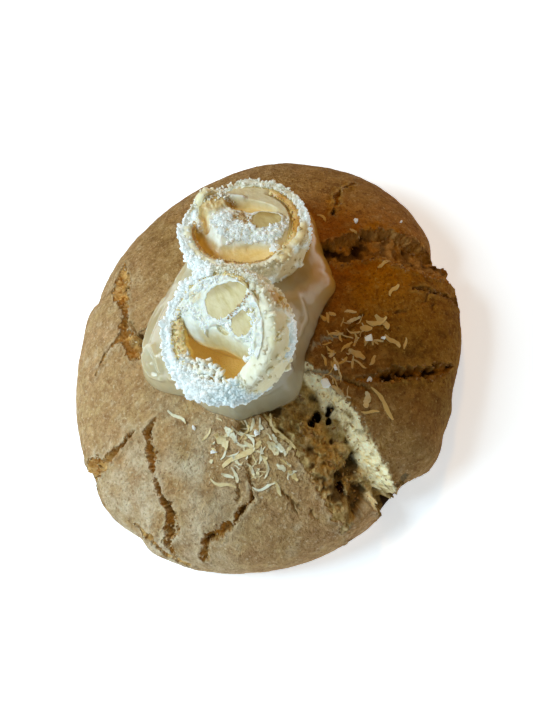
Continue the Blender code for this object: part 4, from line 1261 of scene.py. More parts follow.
def make_cookie():
    """The crust with its cracks, crumb, wrinkles and hairlines."""

    def any_crack(points):
        return (crack_marks(points)[1] > -1.2) | (hairline_depth(points) > 0)

    def wide_crack(points):
        depth, inside, *_ = crack_marks(points)
        return (inside > -0.35) & (inside < 2.2 + 9.0 * (depth > 3.0))

    places, faces = refined_square(CRUST_CELLS, (any_crack, wide_crack))
    bearing, reach = square_to_disc(places[:, 0], places[:, 1])
    points = crust(bearing, reach)
    points[reach > BASE_REACH, 2] = 0.0
    depth, inside, pale, crack_shade, split = crack_marks(points)
    pale *= smooth((PALE_END - reach) / 0.06)
    depth, crumb, pit_shade = add_pits(points, depth, smooth((inside + 0.05) / 0.3))
    hair = hairline_depth(points)
    lip = LIP_HEIGHT * bell(inside + 0.45, 0.4) * (0.6 + ripple(points, 2.2, 5.5))
    wrinkles = WRINKLE_HEIGHT * rough(points, 3.4, 1.1, 3) + FINE_WRINKLE_HEIGHT * ripple(points, 0.9, 2.7)
    lumps_in, holes, wide = crumb_relief(points, depth, inside, pale, split)
    rise = (1 - crumb) * (wrinkles + lip) + crumb * (lumps_in - holes) - hair - depth
    points += crust_normal(bearing, reach) * (rise * smooth((BASE_REACH - reach) / 0.03))[:, None]
    loose = (STIR - 0.12 * split) * crumb * smooth((BASE_REACH - reach) / 0.05)
    points += stirred(points, 1.3, (1.3, 4.7, 9.1)) * loose[:, None]
    points[:, 2] = np.maximum(points[:, 2], 0.0)
    tones = crust_tones(points, inside)
    # Painted shade: crack middles, holes, hairlines, pits and the split's foot are darkened.
    dark = (0.8 + 0.3 * tones["brown"]) * crack_shade * smooth(0.75 + 1.8 * ripple(points, 2.4, 6.1))
    dark += (0.5 + 0.3 * wide) * smooth(1.3 * holes) * crumb + 0.7 * smooth(hair / 0.3) + pit_shade
    dark += 0.55 * split * crumb * smooth((reach - DARK_FOOT) / 0.05)
    tags = {
        "crumb": np.maximum(crumb, 0.8 * smooth(hair / 0.25)),
        "pale": np.clip(pale * (1 + 0.7 * rough(points, 3.0, 9.9, 2)), 0, 1),
        "split": split * crumb,
        "deep": np.clip(dark, 0, 1),
        # Painted highlight along the lips of the cracks.
        "lip": bell(inside + 0.5, 0.45) * smooth(0.6 + ripple(points, 2.0, 3.1)) * (reach < 0.9),
        **tones,
    }
    add_piece("crust", points, faces, crust_finish(), "cookie_crust", ["cookie"], tags)
    surface = BVHTree.FromPolygons(points.tolist(), faces[:-1])
    edge = bell(inside - 0.05, 0.35) * (reach < 0.97)
    return surface, points, crust_normal(bearing, reach), crumb * (depth > 1.2), edge, tones["brown"]


def on_surface(surface, x, y):
    """Point and normal of a surface under a plan position."""
    hit, normal, _, _ = surface.ray_cast(Vector((x, y, ABOVE)), Vector((0, 0, -1)))
    return np.array(hit), np.array(normal)


def shred_shape(start, end, width, bow, surface, rng):
    """One curled, flattened shred that lies on the crust."""
    start, end = np.array(start), np.array(end)
    run = end - start
    length = np.linalg.norm(run)
    aside = np.array([-run[1], run[0]]) / length
    kink = rng.uniform(-0.07, 0.07) * length
    bow *= 0.75
    twist = rng.uniform(-1.3, 1.3)
    shares = np.linspace(0, 1, SHRED_STATIONS)
    plan = [start + run * s + aside * (bow * 4 * s * (1 - s) + kink * math.sin(math.tau * s)) for s in shares]
    hits = [on_surface(surface, *place) for place in plan]
    heights = np.array([hit[2] for hit, _ in hits])
    for _ in range(3):
        middle = (heights[:-2] + 2 * heights[1:-1] + heights[2:]) / 4
        heights[1:-1] = np.maximum(middle, heights[1:-1] - 0.1)
    thick = 0.14 + 0.08 * width
    lift = thick * 0.4 + rng.uniform(0.2, 0.9) * (2 * shares - 1) ** 4 * (rng.random() < 0.5)
    points = []
    for index, share in enumerate(shares):
        normal = hits[index][1] * 0.6 + np.array([0, 0, 0.4])
        normal /= np.linalg.norm(normal)
        across = np.array([*aside, 0.0])
        across -= across @ normal * normal
        across /= np.linalg.norm(across)
        swell = math.sin(math.pi * min(max(share, 0.03), 0.97)) ** 0.6
        taper = (0.25 + 0.75 * swell) * rng.uniform(0.65, 1.2)
        lean = twist * (share - 0.5)
        aslant = across * math.cos(lean) + normal * math.sin(lean)
        upright = normal * math.cos(lean) - across * math.sin(lean)
        middle = np.array([*plan[index], heights[index] + lift[index]])
        for side in range(SHRED_SIDES):
            angle = math.tau * (side + 0.5) / SHRED_SIDES
            reach_out = aslant * math.cos(angle) * width * taper * 0.75
            points.append(middle + reach_out + upright * math.sin(angle) * thick * 0.7)
    points = np.array(points)
    return points, outward(points, tube_faces(SHRED_STATIONS, SHRED_SIDES))


def strewn_shreds():
    """Small shreds strewn round the middles of the heaps."""
    rng = np.random.default_rng(STREWN_SEED)
    rows = []
    for x, y, spread_x, spread_y, count in STREWN:
        for _ in range(count):
            start = rng.normal((x, y), (spread_x, spread_y))
            heading = rng.uniform(0, math.tau)
            length = rng.uniform(0.9, 3.2)
            end = start + length * np.array([math.cos(heading), math.sin(heading)])
            width = 0.22 + 0.6 * rng.random() ** 2
            rows.append((*start, *end, width, rng.uniform(-0.12, 0.12) * length))
    return tuple(rows)


def make_shreds(surface):
    """All shreds of coconut on the crust, as one mesh."""
    rng = np.random.default_rng(SHRED_SEED)
    parts, tones = [], []
    for x0, y0, x1, y1, width, bow in SHREDS + FINE_SHREDS + strewn_shreds():
        shape = shred_shape((x0, y0), (x1, y1), width, bow, surface, rng)
        parts.append(shape)
        tones += [rng.uniform(0.1, 1.0) - 0.45 * (x0 > 10.0)] * len(shape[0])
    points, faces = join(parts)
    tags = {"tone": np.clip(tones, 0.0, 1.0)}
    return add_piece("coconut_shreds", points, faces, coconut_finish(), "cookie_crust", tags=tags, sharp=35.0)


def make_chunks(surface, finish):
    """White angular chunks of coconut."""
    parts = []
    for index, (x, y, length, width, heading) in enumerate(CHUNKS):
        points, faces = flake_shape(index + 70, (1.0, 1.0, 1.0), 10)
        size = np.array([length, width, 1.2]) * 1.15
        cos, sin = math.cos(math.radians(heading)), math.sin(math.radians(heading))
        turned = np.array([[cos, -sin, 0], [sin, cos, 0], [0, 0, 1]])
        hit, _ = on_surface(surface, x, y)
        parts.append(((points * size) @ turned.T + hit + np.array([0, 0, 0.45]), faces))
    points, faces = join(parts)
    return add_piece("coconut_chunks", points, faces, finish, "coconut_coating", sharp=20.0)


def make_crumbs(points, normals, wanted, edge, brown):
    """Loose crumbs that lie in the split and the wide cracks, and smaller ones along all edges."""
    rng = np.random.default_rng(CRUMB_SEED)
    facing_up = normals[:, 2] > 0.3
    inner = rng.choice(np.nonzero((wanted > 0.7) & facing_up)[0], CRUMBS_IN_CRACKS, replace=False)
    outer = rng.choice(np.nonzero((edge > 0.5) & facing_up)[0], CRUMBS_ON_EDGES, replace=False)
    pick = np.concatenate([inner, outer])
    sizes = 0.35 + 0.9 * rng.random(len(pick)) ** 3
    sizes[len(inner) :] = 0.2 + 0.45 * rng.random(len(outer)) ** 2
    shapes = [flake_shape(seed, (1.0, 0.9, 0.8)) for seed in range(5)]
    mesh = scatter(points[pick] + normals[pick] * 0.05, sizes, rng, shapes)
    # The crumbs are darker where the crust's brown, partly painted shade, is strong.
    tones = np.repeat(rng.random(len(pick)) * (1 - 0.75 * brown[pick]), len(shapes[0][0]))
    finish = crumbs_finish("loose_crumb", (0.80, 0.66, 0.40), (0.36, 0.16, 0.03))
    return add_piece("loose_crumbs", *mesh, finish, "cookie_crust", tags={"tone": tones})


# ---------------------------------------------------------------- the cream


def cream_top(x, y):
    """Height of the cream's hills, which climb to the two halves."""
    hills = []
    for half in HALVES.values():
        distance = np.hypot(x - half["middle"][0], y - half["middle"][1])
        fall = CREAM_SLOPE * np.maximum(distance - CREAM_CORE, 0.0)
        hills.append(half["middle"][2] - CREAM_DROP - fall)
    return CREAM_BLEND * np.logaddexp(hills[0] / CREAM_BLEND, hills[1] / CREAM_BLEND)


def cream_course(surface, course):
    """Points of a plan course on the cream, pulled in where it would run off the edge."""
    line = []
    for place in course:
        away = np.array(place) - CREAM_MIDDLE
        widest = ring_curve(CREAM_RADII, math.atan2(away[1], away[0]) / math.tau)
        away *= min(1.0, 0.96 * widest / np.linalg.norm(away))
        line.append(on_surface(surface, *(away + CREAM_MIDDLE))[0])
    return np.array(line)


def fold_cream(top):
    """Lifts the folds out of the cream's top, a grid of rings, along its own normals."""
    rows, columns, _ = top.shape
    flat = top.reshape(-1, 3)
    surface = BVHTree.FromPolygons(flat.tolist(), grid_faces(rows, columns))
    lift = np.zeros(len(flat))
    for course, height, width in CREAM_FOLDS:
        nearest = near_line(flat, cream_course(surface, course))[0]
        lift += height * bell(nearest, width)
    lift = MOST_LIFT * np.tanh(lift / MOST_LIFT)
    round_it = np.roll(top, -1, axis=1) - np.roll(top, 1, axis=1)
    normal = np.cross(np.gradient(top, axis=0), round_it)
    normal /= np.maximum(np.linalg.norm(normal, axis=-1, keepdims=True), 1e-9)
    return top + normal * lift.reshape(rows, columns)[..., None]


def make_cream():
    """The dollop, with soft folds, pressed down under the two halves."""
    turn, circle = round_turns(CREAM_COLUMNS)
    outline = ring_curve(CREAM_RADII, turn)
    outline = outline + 0.35 * ripple(4 * circle, 0.9, 3.9) + 0.2 * ripple(4 * circle, 0.4, 1.2)

    def plan(share):
        x = CREAM_MIDDLE[0] + outline * share * circle[:, 0]
        y = CREAM_MIDDLE[1] + outline * share * circle[:, 1]
        return x, y

    rings = []
    for share in np.sin(np.linspace(0, math.pi / 2, CREAM_TOP_ROWS + 1)[1:]) ** 0.8:
        x, y = plan(share)
        base = crust_height(x, y)
        thick = np.maximum(cream_top(x, y) - base, CREAM_THINNEST)
        flat = flat_points(x, y)
        folds = 0.35 * ripple(flat, 6.0, 2.0) + 0.22 * ripple(flat, 2.8, 7.0)
        top = base + CREAM_EDGE + (thick + folds) * np.sqrt(np.clip(1 - share**CREAM_ROUNDING, 0, 1))
        for half in HALVES.values():
            middle = half["middle"]
            away = np.hypot(x - middle[0], y - middle[1])
            bowl = middle[2] - np.sqrt(np.maximum(BOWL_RADIUS**2 - away**2, 0.0))
            top = np.where(away < BOWL_RADIUS, np.minimum(top, bowl), top)
        rings.append(np.stack([x, y, np.maximum(top, base + 0.1)], -1))
    rings = list(fold_cream(np.array(rings)))
    for share in np.linspace(1, 0, CREAM_BASE_ROWS + 2)[1:-1]:
        x, y = plan(share)
        rings.append(np.stack([x, y, crust_height(x, y) - 0.1], -1))
    centre = np.array(CREAM_MIDDLE)
    low = crust_height(centre[:1], centre[1:])[0]
    points, faces = closed((*centre, rings[0][:, 2].mean()), rings, (*centre, low), from_top=True)
    # Painted warm light on the cream's right and painted shade low at its front.
    tags = {
        "warm": smooth((points[:, 0] + 0.3 * points[:, 1] - 8.0) / 14.0),
        "low": smooth((-15.0 - points[:, 1]) / 9.0),
    }
    return add_piece("glossy_cream", points, faces, cream_finish(), "glossy_cream", ["cream"], tags)


# ---------------------------------------------------------------- the halves


def half_shell(outside, inside, ledge, height, rows, relief, rim_relief):
    """Points and faces from the outer pole up to the rim and down to the inner pole, and 1 outside.

    rows are those of the outer and of the inner side, and ledge is how much the wall thickens
    inwards just under the rim.
    """
    columns = len(height)
    circle = round_turns(columns)[1]
    rings, marks = [], []
    layers = ((outside, rows[0], 1), (np.full(columns, float(inside)), rows[1], -1))
    for wall, count, way in layers:
        top = np.arcsin(np.clip(height / wall, -0.95, 0.95))
        for share in np.linspace(0.0, 1.0, count + 1)[1:][::way]:
            lean = -math.pi / 2 + (math.pi / 2 + top) * share
            level = np.cos(lean)
            ring = np.stack([circle[:, 0] * level, circle[:, 1] * level, np.sin(lean)], -1)
            flat = wall * np.sqrt(share) + wall.mean() * (1 - np.sqrt(share))
            place = ring * flat[:, None]
            lift = relief(place) if way > 0 else -ledge * smooth((share - 0.78) / 0.12)
            place = ring * (flat + lift)[:, None]
            place[:, 2] += rim_relief(place) * smooth((share - 0.9) / 0.1)
            rings.append(place)
            marks.append(np.full(columns, float(way > 0)))
    mesh = closed((0.0, 0.0, -float(np.mean(outside))), rings, (0.0, 0.0, -float(inside)))
    return *mesh, np.concatenate([[1.0], *marks, [0.0]])


def bearing_of(points):
    """Bearing round a half's own axis in degrees, from -180 to 180."""
    return np.degrees(np.arctan2(points[:, 1], points[:, 0]))


def arc(bearing, middle, reach, soft=15.0):
    """1 within reach degrees of a bearing, softly 0 beyond."""
    away = np.abs((bearing - middle + 180.0) % 360.0 - 180.0)
    return smooth((reach + soft - away) / soft)


def front_coat_marks(points):
    """Where the front coat is smeared with cream and where golden wafer shows through it."""
    bearing = bearing_of(points)
    wander = 0.9 * rough(points, 2.0, 3.0, 2)
    right = arc(bearing, -18.0, 30.0, 14.0) * smooth((points[:, 2] + 2.2 + wander) / 0.5)
    low_right = arc(bearing + 6.0 * wander, -42.0, 14.0, 6.0)
    upper = arc(bearing, 55.0, 34.0, 12.0)
    brown = arc(bearing + 4.0 * wander, 29.0, 7.0, 6.0)
    brown = brown * smooth((points[:, 2] + 4.2 + wander) / 0.8) * smooth((1.2 - points[:, 2] + wander) / 1.2)
    toast = np.maximum(0.30 * upper * smooth(0.7 + ripple(points, 2.2, 1.0)), 0.9 * brown)
    return np.clip(np.maximum(np.maximum(right, low_right), 0.8 * upper), 0, 1), toast


def rear_coat_marks(points):
    """Where the rear coat is smeared with cream, where golden wafer shows through it, and its painted warm
    shade.
    """
    bearing = bearing_of(points)
    radius = np.hypot(points[:, 0], points[:, 1])
    inner = smooth((13.1 - radius) / 0.7) * smooth((points[:, 2] - 0.3) / 0.8)
    top = arc(bearing, 80.0, 45.0) * smooth((points[:, 2] - 0.2) / 0.8)
    low = arc(bearing, -72.0, 16.0, 12.0) * smooth((points[:, 2] + 2.5) / 2.0)
    # Painted warm shade: the right lower side is smeared beige and toasted.
    side = arc(bearing, -34.0, 22.0, 14.0) * smooth(0.9 + 1.4 * ripple(points, 2.6, 3.4))
    flap = arc(bearing, 138.0, 16.0, 10.0) * smooth((points[:, 2] - 1.0) / 1.0)
    smear = np.maximum.reduce([0.35 * inner, 0.6 * top, 0.8 * low, 0.9 * flap, side])
    toast = 0.42 * flap * smooth(0.6 + ripple(points, 1.5, 6.0)) + 0.22 * low
    return smear, np.maximum(toast, 0.44 * side)


COAT_MARKS = {"front": front_coat_marks, "rear": rear_coat_marks}


def make_coating(name, half, finish, rng):
    """The coat of white coconut: a rough shell with many small grains in it."""
    turn, circle = round_turns(COAT_COLUMNS)
    height = half["cut"] + ring_curve(half["rim"], turn) + 0.4 * rough(circle, 0.14, 8.1, 3)
    marks = COAT_MARKS[name]

    def relief(place):
        return (0.65 * rough(place, 2.6, 5.3, 3) - 0.3) * (1 - 0.75 * marks(place)[0])

    def rim_relief(place):
        return 0.45 * rough(place, 1.3, 2.9, 3) * (1 - 0.3 * marks(place)[0])

    wall = ring_curve(half["coat"], turn)
    ledge = np.zeros(COAT_COLUMNS)
    points, faces, _ = half_shell(wall, COAT_INSIDE, ledge, height, COAT_ROWS, relief, rim_relief)
    shapes = [flake_shape(20 + seed, (1.0, 0.8, 0.6), 13) for seed in range(12)]
    all_round = ring_numbers(COAT_COLUMNS, COAT_BARE_ROWS, COAT_ROWS[0] + 2)
    pick = rng.choice(all_round, COAT_GRAINS, replace=False)
    rim = ring_numbers(COAT_COLUMNS, COAT_ROWS[0] - 4, COAT_ROWS[0] + 1)
    pick = np.concatenate([pick, rng.choice(rim, RIM_GRAINS, replace=False)])
    pick = pick[rng.random(len(pick)) > 0.93 * marks(points[pick])[0]]
    where = [points[pick] * (1 + 0.012 * rng.random(len(pick)))[:, None]]
    for first, last, inner, count in half["loose_rims"]:
        round_it = np.radians(rng.uniform(first, last, count))
        out_it = rng.uniform(inner, OUTERMOST_GRAIN, count)
        low = half["cut"] - 0.3 + rng.normal(0, 0.4, count)
        where.append(np.stack([np.cos(round_it) * out_it, np.sin(round_it) * out_it, low], -1))
    where = np.concatenate(where)
    sizes = SMALLEST_GRAIN + half["largest"] * rng.random(len(where)) ** 2
    points, faces = join([(points, faces), scatter(where, sizes, rng, shapes)])
    smear, toast = marks(points)
    place = placed(points, half)
    tags = {"smear": smear, "toast": toast, "shade": smooth((SHADE_START - place[:, 1]) / SHADE_WIDTH)}
    return add_piece(f"{name}_coconut", place, faces, finish, "coconut_coating", [f"{name}_coating"], tags)


def make_bands(name, half, finish):
    """Soft coconut and cream smeared over the rim, from the coat in to the filling."""
    parts, smears = [], []
    for first, last, inner, outer, rise, smear in half["bands"]:
        stations = round((last - first) / BAND_STEP)
        bearing = np.radians(np.linspace(first, last, stations))
        ends = smooth(np.minimum(bearing - bearing[0], bearing[-1] - bearing) / BAND_FADE)
        rim = half["cut"] + ring_curve(half["rim"], bearing / math.tau)
        cos, sin, _ = round_turns(BAND_SIDES)[1].T
        reach = (inner + outer) / 2 + np.outer(0.3 + 0.7 * ends, cos) * (outer - inner) / 2
        height = np.where(sin > 0, rise, BAND_DEPTH) * sin
        level = (rim - 0.3 - BAND_DEPTH * (1 - ends))[:, None] + height[None, :]
        turned = np.broadcast_to(bearing[:, None], reach.shape)
        points = np.stack([reach * np.cos(turned), reach * np.sin(turned), level], -1).reshape(-1, 3)
        points = points + 0.24 * stirred(points, 1.7, (2.2, 5.5, 8.8))
        parts.append((points, outward(points, tube_faces(stations, BAND_SIDES))))
        smears.append(np.full(len(points), smear))
    points, faces = join(parts)
    tags = {"smear": np.concatenate(smears)}
    return add_piece(f"{name}_smear", placed(points, half), faces, finish, "coconut_coating", tags=tags)


def front_wafer_marks(points):
    """Toasted and pale places of the front wafer."""
    bearing = bearing_of(points)
    return 0.5 * arc(bearing, 40.0, 20.0), 0.6 * arc(bearing, 0.0, 25.0)


def rear_wafer_marks(points):
    """Toasted and pale places of the rear wafer."""
    bearing = bearing_of(points)
    radius = np.hypot(points[:, 0], points[:, 1])
    line = smooth((11.7 - radius) / 0.2) * smooth((points[:, 2] - 0.2) / 0.5) * arc(bearing, -125.0, 62.0)
    outside = smooth((radius - 11.5) / 0.2) * arc(bearing, -125.0, 62.0)
    toast = np.maximum(line, arc(bearing, 12.0, 32.0) * smooth(0.75 + 1.3 * ripple(points, 3.4, 4.0)))
    return toast, 0.85 * outside


WAFER_MARKS = {"front": front_wafer_marks, "rear": rear_wafer_marks}


def make_wafer(name, half, finish, rng):
    """The thin wafer with its crumbly broken rim."""
    turn, circle = round_turns(WAFER_COLUMNS)
    rim = ring_curve(half["wafer"], turn)
    height = half["cut"] + rim + (0.2 + 0.9 * smooth(-rim / 2.0)) * rough(circle, 0.12, 1.7, 3)

    def relief(place):
        return 0.05 * rough(place, 1.0, 2.3, 2)

    def rim_relief(place):
        return 0.25 * rough(place, 0.7, 4.9, 2)

    wall = np.full(WAFER_COLUMNS, WAFER_OUTSIDE)
    ledge = ring_curve(WAFER_LEDGE[name], turn) * (1 + 0.35 * rough(circle, 0.2, 6.7, 3))
    points, faces, outer = half_shell(wall, WAFER_INSIDE, ledge, height, WAFER_ROWS, relief, rim_relief)
    deep = smooth((half["cut"] - 0.4 - points[:, 2]) / 0.8)
    toast, pale = WAFER_MARKS[name](points)
    shapes = [lump_shape(40 + seed) for seed in range(5)]
    top_rings = ring_numbers(WAFER_COLUMNS, WAFER_ROWS[0] - 1, WAFER_ROWS[0] + 1)
    pick = rng.choice(top_rings, WAFER_CRUMBS, replace=False)
    sizes = 0.25 + 0.45 * rng.random(len(pick)) ** 2
    crumbs = scatter(points[pick], sizes, rng, shapes, flatten=0.8)
    crumb_toast, crumb_pale = WAFER_MARKS[name](crumbs[0])
    tags = {
        "toast": np.concatenate([toast * (1 - 0.6 * deep), 0.7 * crumb_toast]),
        "pale": np.concatenate([pale, crumb_pale]),
        "inner": np.concatenate([(1 - outer) * deep, np.zeros(len(crumbs[0]))]),
    }
    points, faces = join([(points, faces), crumbs])
    place = placed(points, half)
    return add_piece(f"{name}_wafer_shell", place, faces, finish, "wafer", [f"{name}_wafer"], tags)


def line_distance(x, y, course):
    """Distance from a line on a cut face that runs towards +x, positive below it."""
    distance, _, _ = near_line(flat_points(x, y), np.array([(*place, 0.0) for place in course]))
    course = np.array(sorted(course))
    return np.where(y < np.interp(x, course[:, 0], course[:, 1]), distance, -distance)


def blot(x, y, at, size, turn=0.0):
    """1 inside an ellipse on a cut face, with a soft and slightly ragged edge."""
    along, aside = turned_axes(x, y, at, turn)
    ragged = 0.15 * ripple(flat_points(x, y), 1.4, 3.3)
    return smooth((1.2 - np.hypot(along / size[0], aside / size[1]) + ragged) / 0.4)


def front_forms(x, y):
    """Rise and the three colour shares of the front filling at places on its face."""
    flat = flat_points(x, y)
    edge = line_distance(x, y, FRONT_EDGE) + 0.22 * ripple(flat, 0.9, 2.2)
    past = line_distance(x, y, SHORE["front"])
    side = smooth((edge + 0.1) / 0.35)
    left = smooth((-4.6 - x) / 1.5)
    beyond = np.maximum(past, 0.0)
    drop = 0.12 * beyond**2 + 0.35 * beyond + 2.2 * np.maximum(past - 4.2, 0.0)
    ridge = bell(line_distance(x, y, FRONT_RIDGE), 0.9)
    snow = 0.34 * rough(flat, 1.5, 4.1, 3) + 0.15 * rough(flat, 0.5, 7.1, 2)
    shaded_dent = blot(x, y, (0.9, 0.5), (1.5, 0.8), -30.0)
    step = 0.55 * side * (1 - 0.8 * left)
    outer = smooth((np.hypot(x, y) - 8.3) / 1.0) * arc(bearing_of(flat), 0.0, 58.0, 14.0)
    rise = 0.65 - drop - step + 0.8 * np.maximum(ridge, 0.9 * outer)
    rise = rise + snow * (1 - 0.85 * side) - 0.6 * shaded_dent * side
    # Painted shade: the recess is beige, as shade in it would look.
    beige = side * smooth((past + 1.2) / 3.4) * (1 - 0.8 * left) + 0.6 * shaded_dent * side
    beige = np.maximum(beige, 0.5 * blot(x, y, (-5.6, 7.2), (1.7, 1.2)))
    gold = smooth((past - 2.9) / 1.4)
    crumb = 0.7 * blot(x, y, (-5.6, 7.4), (1.4, 0.9)) * smooth(2.0 * ripple(flat, 0.8, 5.0))
    return rise, np.clip(beige, 0, 1) * (1 - 0.8 * np.maximum(ridge, outer)), gold, crumb


def rear_forms(x, y):
    """Rise and the three colour shares of the rear filling at places on its face."""
    flat = flat_points(x, y)
    past = line_distance(x, y, SHORE["rear"]) + 0.35 * ripple(flat, 3.0, 6.2)
    side = smooth((past - 0.4) / 1.2)
    drop = 3.3 * (1 - np.exp(-0.17 * np.maximum(past, 0.0) ** 2))
    wall = smooth((np.hypot(x, y) - 9.5) / 0.5) * arc(bearing_of(flat), 10.0, 42.0)
    along, aside = turned_axes(x, y, (1.2, 5.3), -20.0)
    oval = smooth((1.25 - np.hypot(along / 5.4, aside / 1.6)) / 0.5)
    notch = bell(line_distance(x, y, REAR_NOTCH), 0.8)
    back = bell(line_distance(x, y, REAR_BACK_RIDGE), 0.6)
    lump = blot(x, y, (-4.3, 1.7), (1.6, 1.8), 20.0)
    flap = blot(x, y, (-7.2, 6.6), (3.6, 2.2), 20.0)
    beyond_oval = smooth((y - 3.4 + 0.36 * (x - 1.2)) / 1.0)
    snow = 0.30 * rough(flat, 1.6, 6.4, 3) + 0.12 * rough(flat, 0.5, 1.4, 2)
    calm = np.clip(side + beyond_oval * (1 - flap), 0, 1)
    rise = 0.5 - drop - 1.9 * oval + 0.7 * lump + 0.9 * flap + 0.8 * back - 2.0 * notch - 1.0 * wall
    rise += snow * (1 - 0.85 * calm)
    beige = np.clip(smooth((past - 1.8) / 0.9) + 0.8 * beyond_oval * (1 - back) + 0.9 * flap, 0, 1)
    gold = np.clip(0.9 * smooth((past - 2.3) / 1.2) + 0.9 * oval + 0.9 * notch + 0.3 * flap, 0, 1)
    crumb = flap * smooth(0.2 + 1.6 * ripple(flat, 1.0, 5.0)) * 0.6
    crumb = np.maximum(crumb, 0.9 * blot(x, y, (-0.4, 1.4), (0.9, 2.3), 12.0))
    return rise, beige * (1 - lump), gold, crumb


FORMS = {"front": front_forms, "rear": rear_forms}


def filling_level(name, half, x, y):
    """Height of the filling's surface over places on a cut face, kept off its almonds."""
    rise, *tones = FORMS[name](x, y)
    top = half["cut"] - 0.5 + rise
    flat = flat_points(x, y)
    on_top = line_distance(x, y, SHORE[name]) < 0.4
    for almond in half["almonds"].values():
        level = half["cut"] + almond["top"]
        away = almond_distance(x, y, almond) + 0.09 * rough(flat, 1.4, 8.0, 3)
        meet = level + 0.14 + 0.10 * ripple(flat, 0.9, 4.6)
        near = smooth((1.35 - away) / 0.3) * on_top
        top = np.where(away < 1.35, top + (meet - top) * near, top)
        top = np.where(away < 0.99, meet - 1.2 * smooth((0.99 - away) / 0.09), top)
    return top, tones


def make_filling(name, half, finish):
    """The filling, which has pulled away from one side of the wafer."""
    circle = round_turns(FILLING_COLUMNS)[1]
    none = np.zeros(FILLING_COLUMNS)

    def bowl_ring(share):
        """Places of a ring, and the height of the wafer's bowl there."""
        radius = FILLING_REACH * share
        return radius * circle[:, 0], radius * circle[:, 1], -math.sqrt(FILLING_RADIUS**2 - radius**2)

    rings, tones = [], []
    for share in np.linspace(0, 1, FILLING_ROWS + 1)[1:]:
        x, y, floor = bowl_ring(share)
        top, tone = filling_level(name, half, x, y)
        rings.append(np.stack([x, y, np.maximum(top, floor + 0.05)], -1))
        tones.append(tone)
    for share in np.linspace(1, 0, FILLING_FLOOR_ROWS + 2)[1:-1]:
        x, y, floor = bowl_ring(share)
        rings.append(np.stack([x, y, none + floor], -1))
        tones.append([none + 1, none + 1, none])
    top = rings[0][:, 2].mean()
    points, faces = closed((0, 0, top), rings, (0, 0, -FILLING_RADIUS), from_top=True)
    shares = np.concatenate(tones, axis=1)
    shares = np.concatenate([shares[:, :1], shares, shares[:, -1:]], axis=1)
    tags = dict(zip(("beige", "gold", "crumb"), shares))
    place = placed(points, half)
    return add_piece(f"{name}_milk_filling", place, faces, finish, "white_filling", [f"{name}_filling"], tags)


def almond_distance(x, y, almond):
    """1 at the outline of an almond, less inside and more outside."""
    long, short, _ = almond["size"]
    along, aside = turned_axes(x, y, almond["at"], almond["turn"])
    taper = 1.0 + ALMOND_TAPER * np.clip(along / long, -1, 1)
    return np.hypot(along / long, aside * taper / short)


def make_almond(name, half, node, almond, finish):
    """A cut almond with a gently dished face and a rounded edge."""
    circle = round_turns(ALMOND_COLUMNS)[1]
    cos, sin, flat = circle.T
    long, short, deep = (size + 0.25 for size in almond["size"])
    level = half["cut"] + almond["top"]
    rows, edge = [], []
    for radius in np.linspace(0, 1, ALMOND_FACE_ROWS + 1)[1:]:
        rows.append((radius, level + 0.10 * math.sqrt(max(1 - radius**6, 0)) - 0.2 * (1 - radius**2)))
        edge.append(0.75 * smooth((radius * sin - 0.25) / 0.45))
    for lean in np.linspace(0, 1.45, ALMOND_SIDE_ROWS + 1)[1:]:
        rows.append((math.cos(lean), level - deep * math.sin(lean)))
        edge.append(np.ones(ALMOND_COLUMNS))
    wobble = 1.0 + 0.05 * rough(circle, 0.7, long, 3)
    taper = (1.0 + ALMOND_TAPER * cos) / wobble
    rings = []
    for radius, height in rows:
        x = long * radius * cos * wobble
        y = short * radius * sin / taper
        rings.append(np.stack([x, y, flat + height], -1))
    points, faces = closed((0.0, 0.0, rows[0][1]), rings, (0.0, 0.0, level - deep), from_top=True)
    points[:, 2] += 0.10 * rough(points, 2.0, 1.0 + long, 2)
    heading = math.radians(almond["turn"])
    x, y = points.T[:2].copy()
    points[:, 0] = almond["at"][0] + x * math.cos(heading) - y * math.sin(heading)
    points[:, 1] = almond["at"][1] + x * math.sin(heading) + y * math.cos(heading)
    tags = {"edge": np.concatenate([[0.0], *edge, [1.0]])}
    place = placed(points, half)
    return add_piece(f"{name}_cut_{node}", place, faces, finish, "almond", [f"{name}_{node}"], tags)


def make_face_crumbs(name, half, finishes, rng):
    """Crumbs of wafer, nut, coconut and filling on a cut face."""
    shapes = [flake_shape(60 + seed, (1.0, 0.85, 0.65)) for seed in range(8)]
    for kind, (course, count, spread, (small, large), base, over) in FACE_CRUMBS[name].items():
        line = np.array(course, float)
        along = rng.uniform(0, len(line) - 1, count)
        x = np.interp(along, range(len(line)), line[:, 0]) + rng.normal(0, spread, count)
        y = np.interp(along, range(len(line)), line[:, 1]) + rng.normal(0, spread, count)
        if base == "filling":
            z = filling_level(name, half, x, y)[0] + over
        else:
            z = half["cut"] + over + rng.normal(0, 0.35, count)
        sizes = small + (large - small) * rng.random(count) ** 1.6
        points, faces = scatter(np.stack([x, y, z], -1), sizes, rng, shapes, 0.8)
        tags = {"tone": np.repeat(rng.random(count) ** 0.5, len(shapes[0][0]))}
        look, slot = CRUMB_LOOKS[kind.split("_")[0]]
        place = placed(points, half)
        hard = 35.0 if look == "brown" or kind == "chunk" else None
        add_piece(f"{name}_{kind}_crumbs", place, faces, finishes[look], slot, tags=tags, sharp=hard)


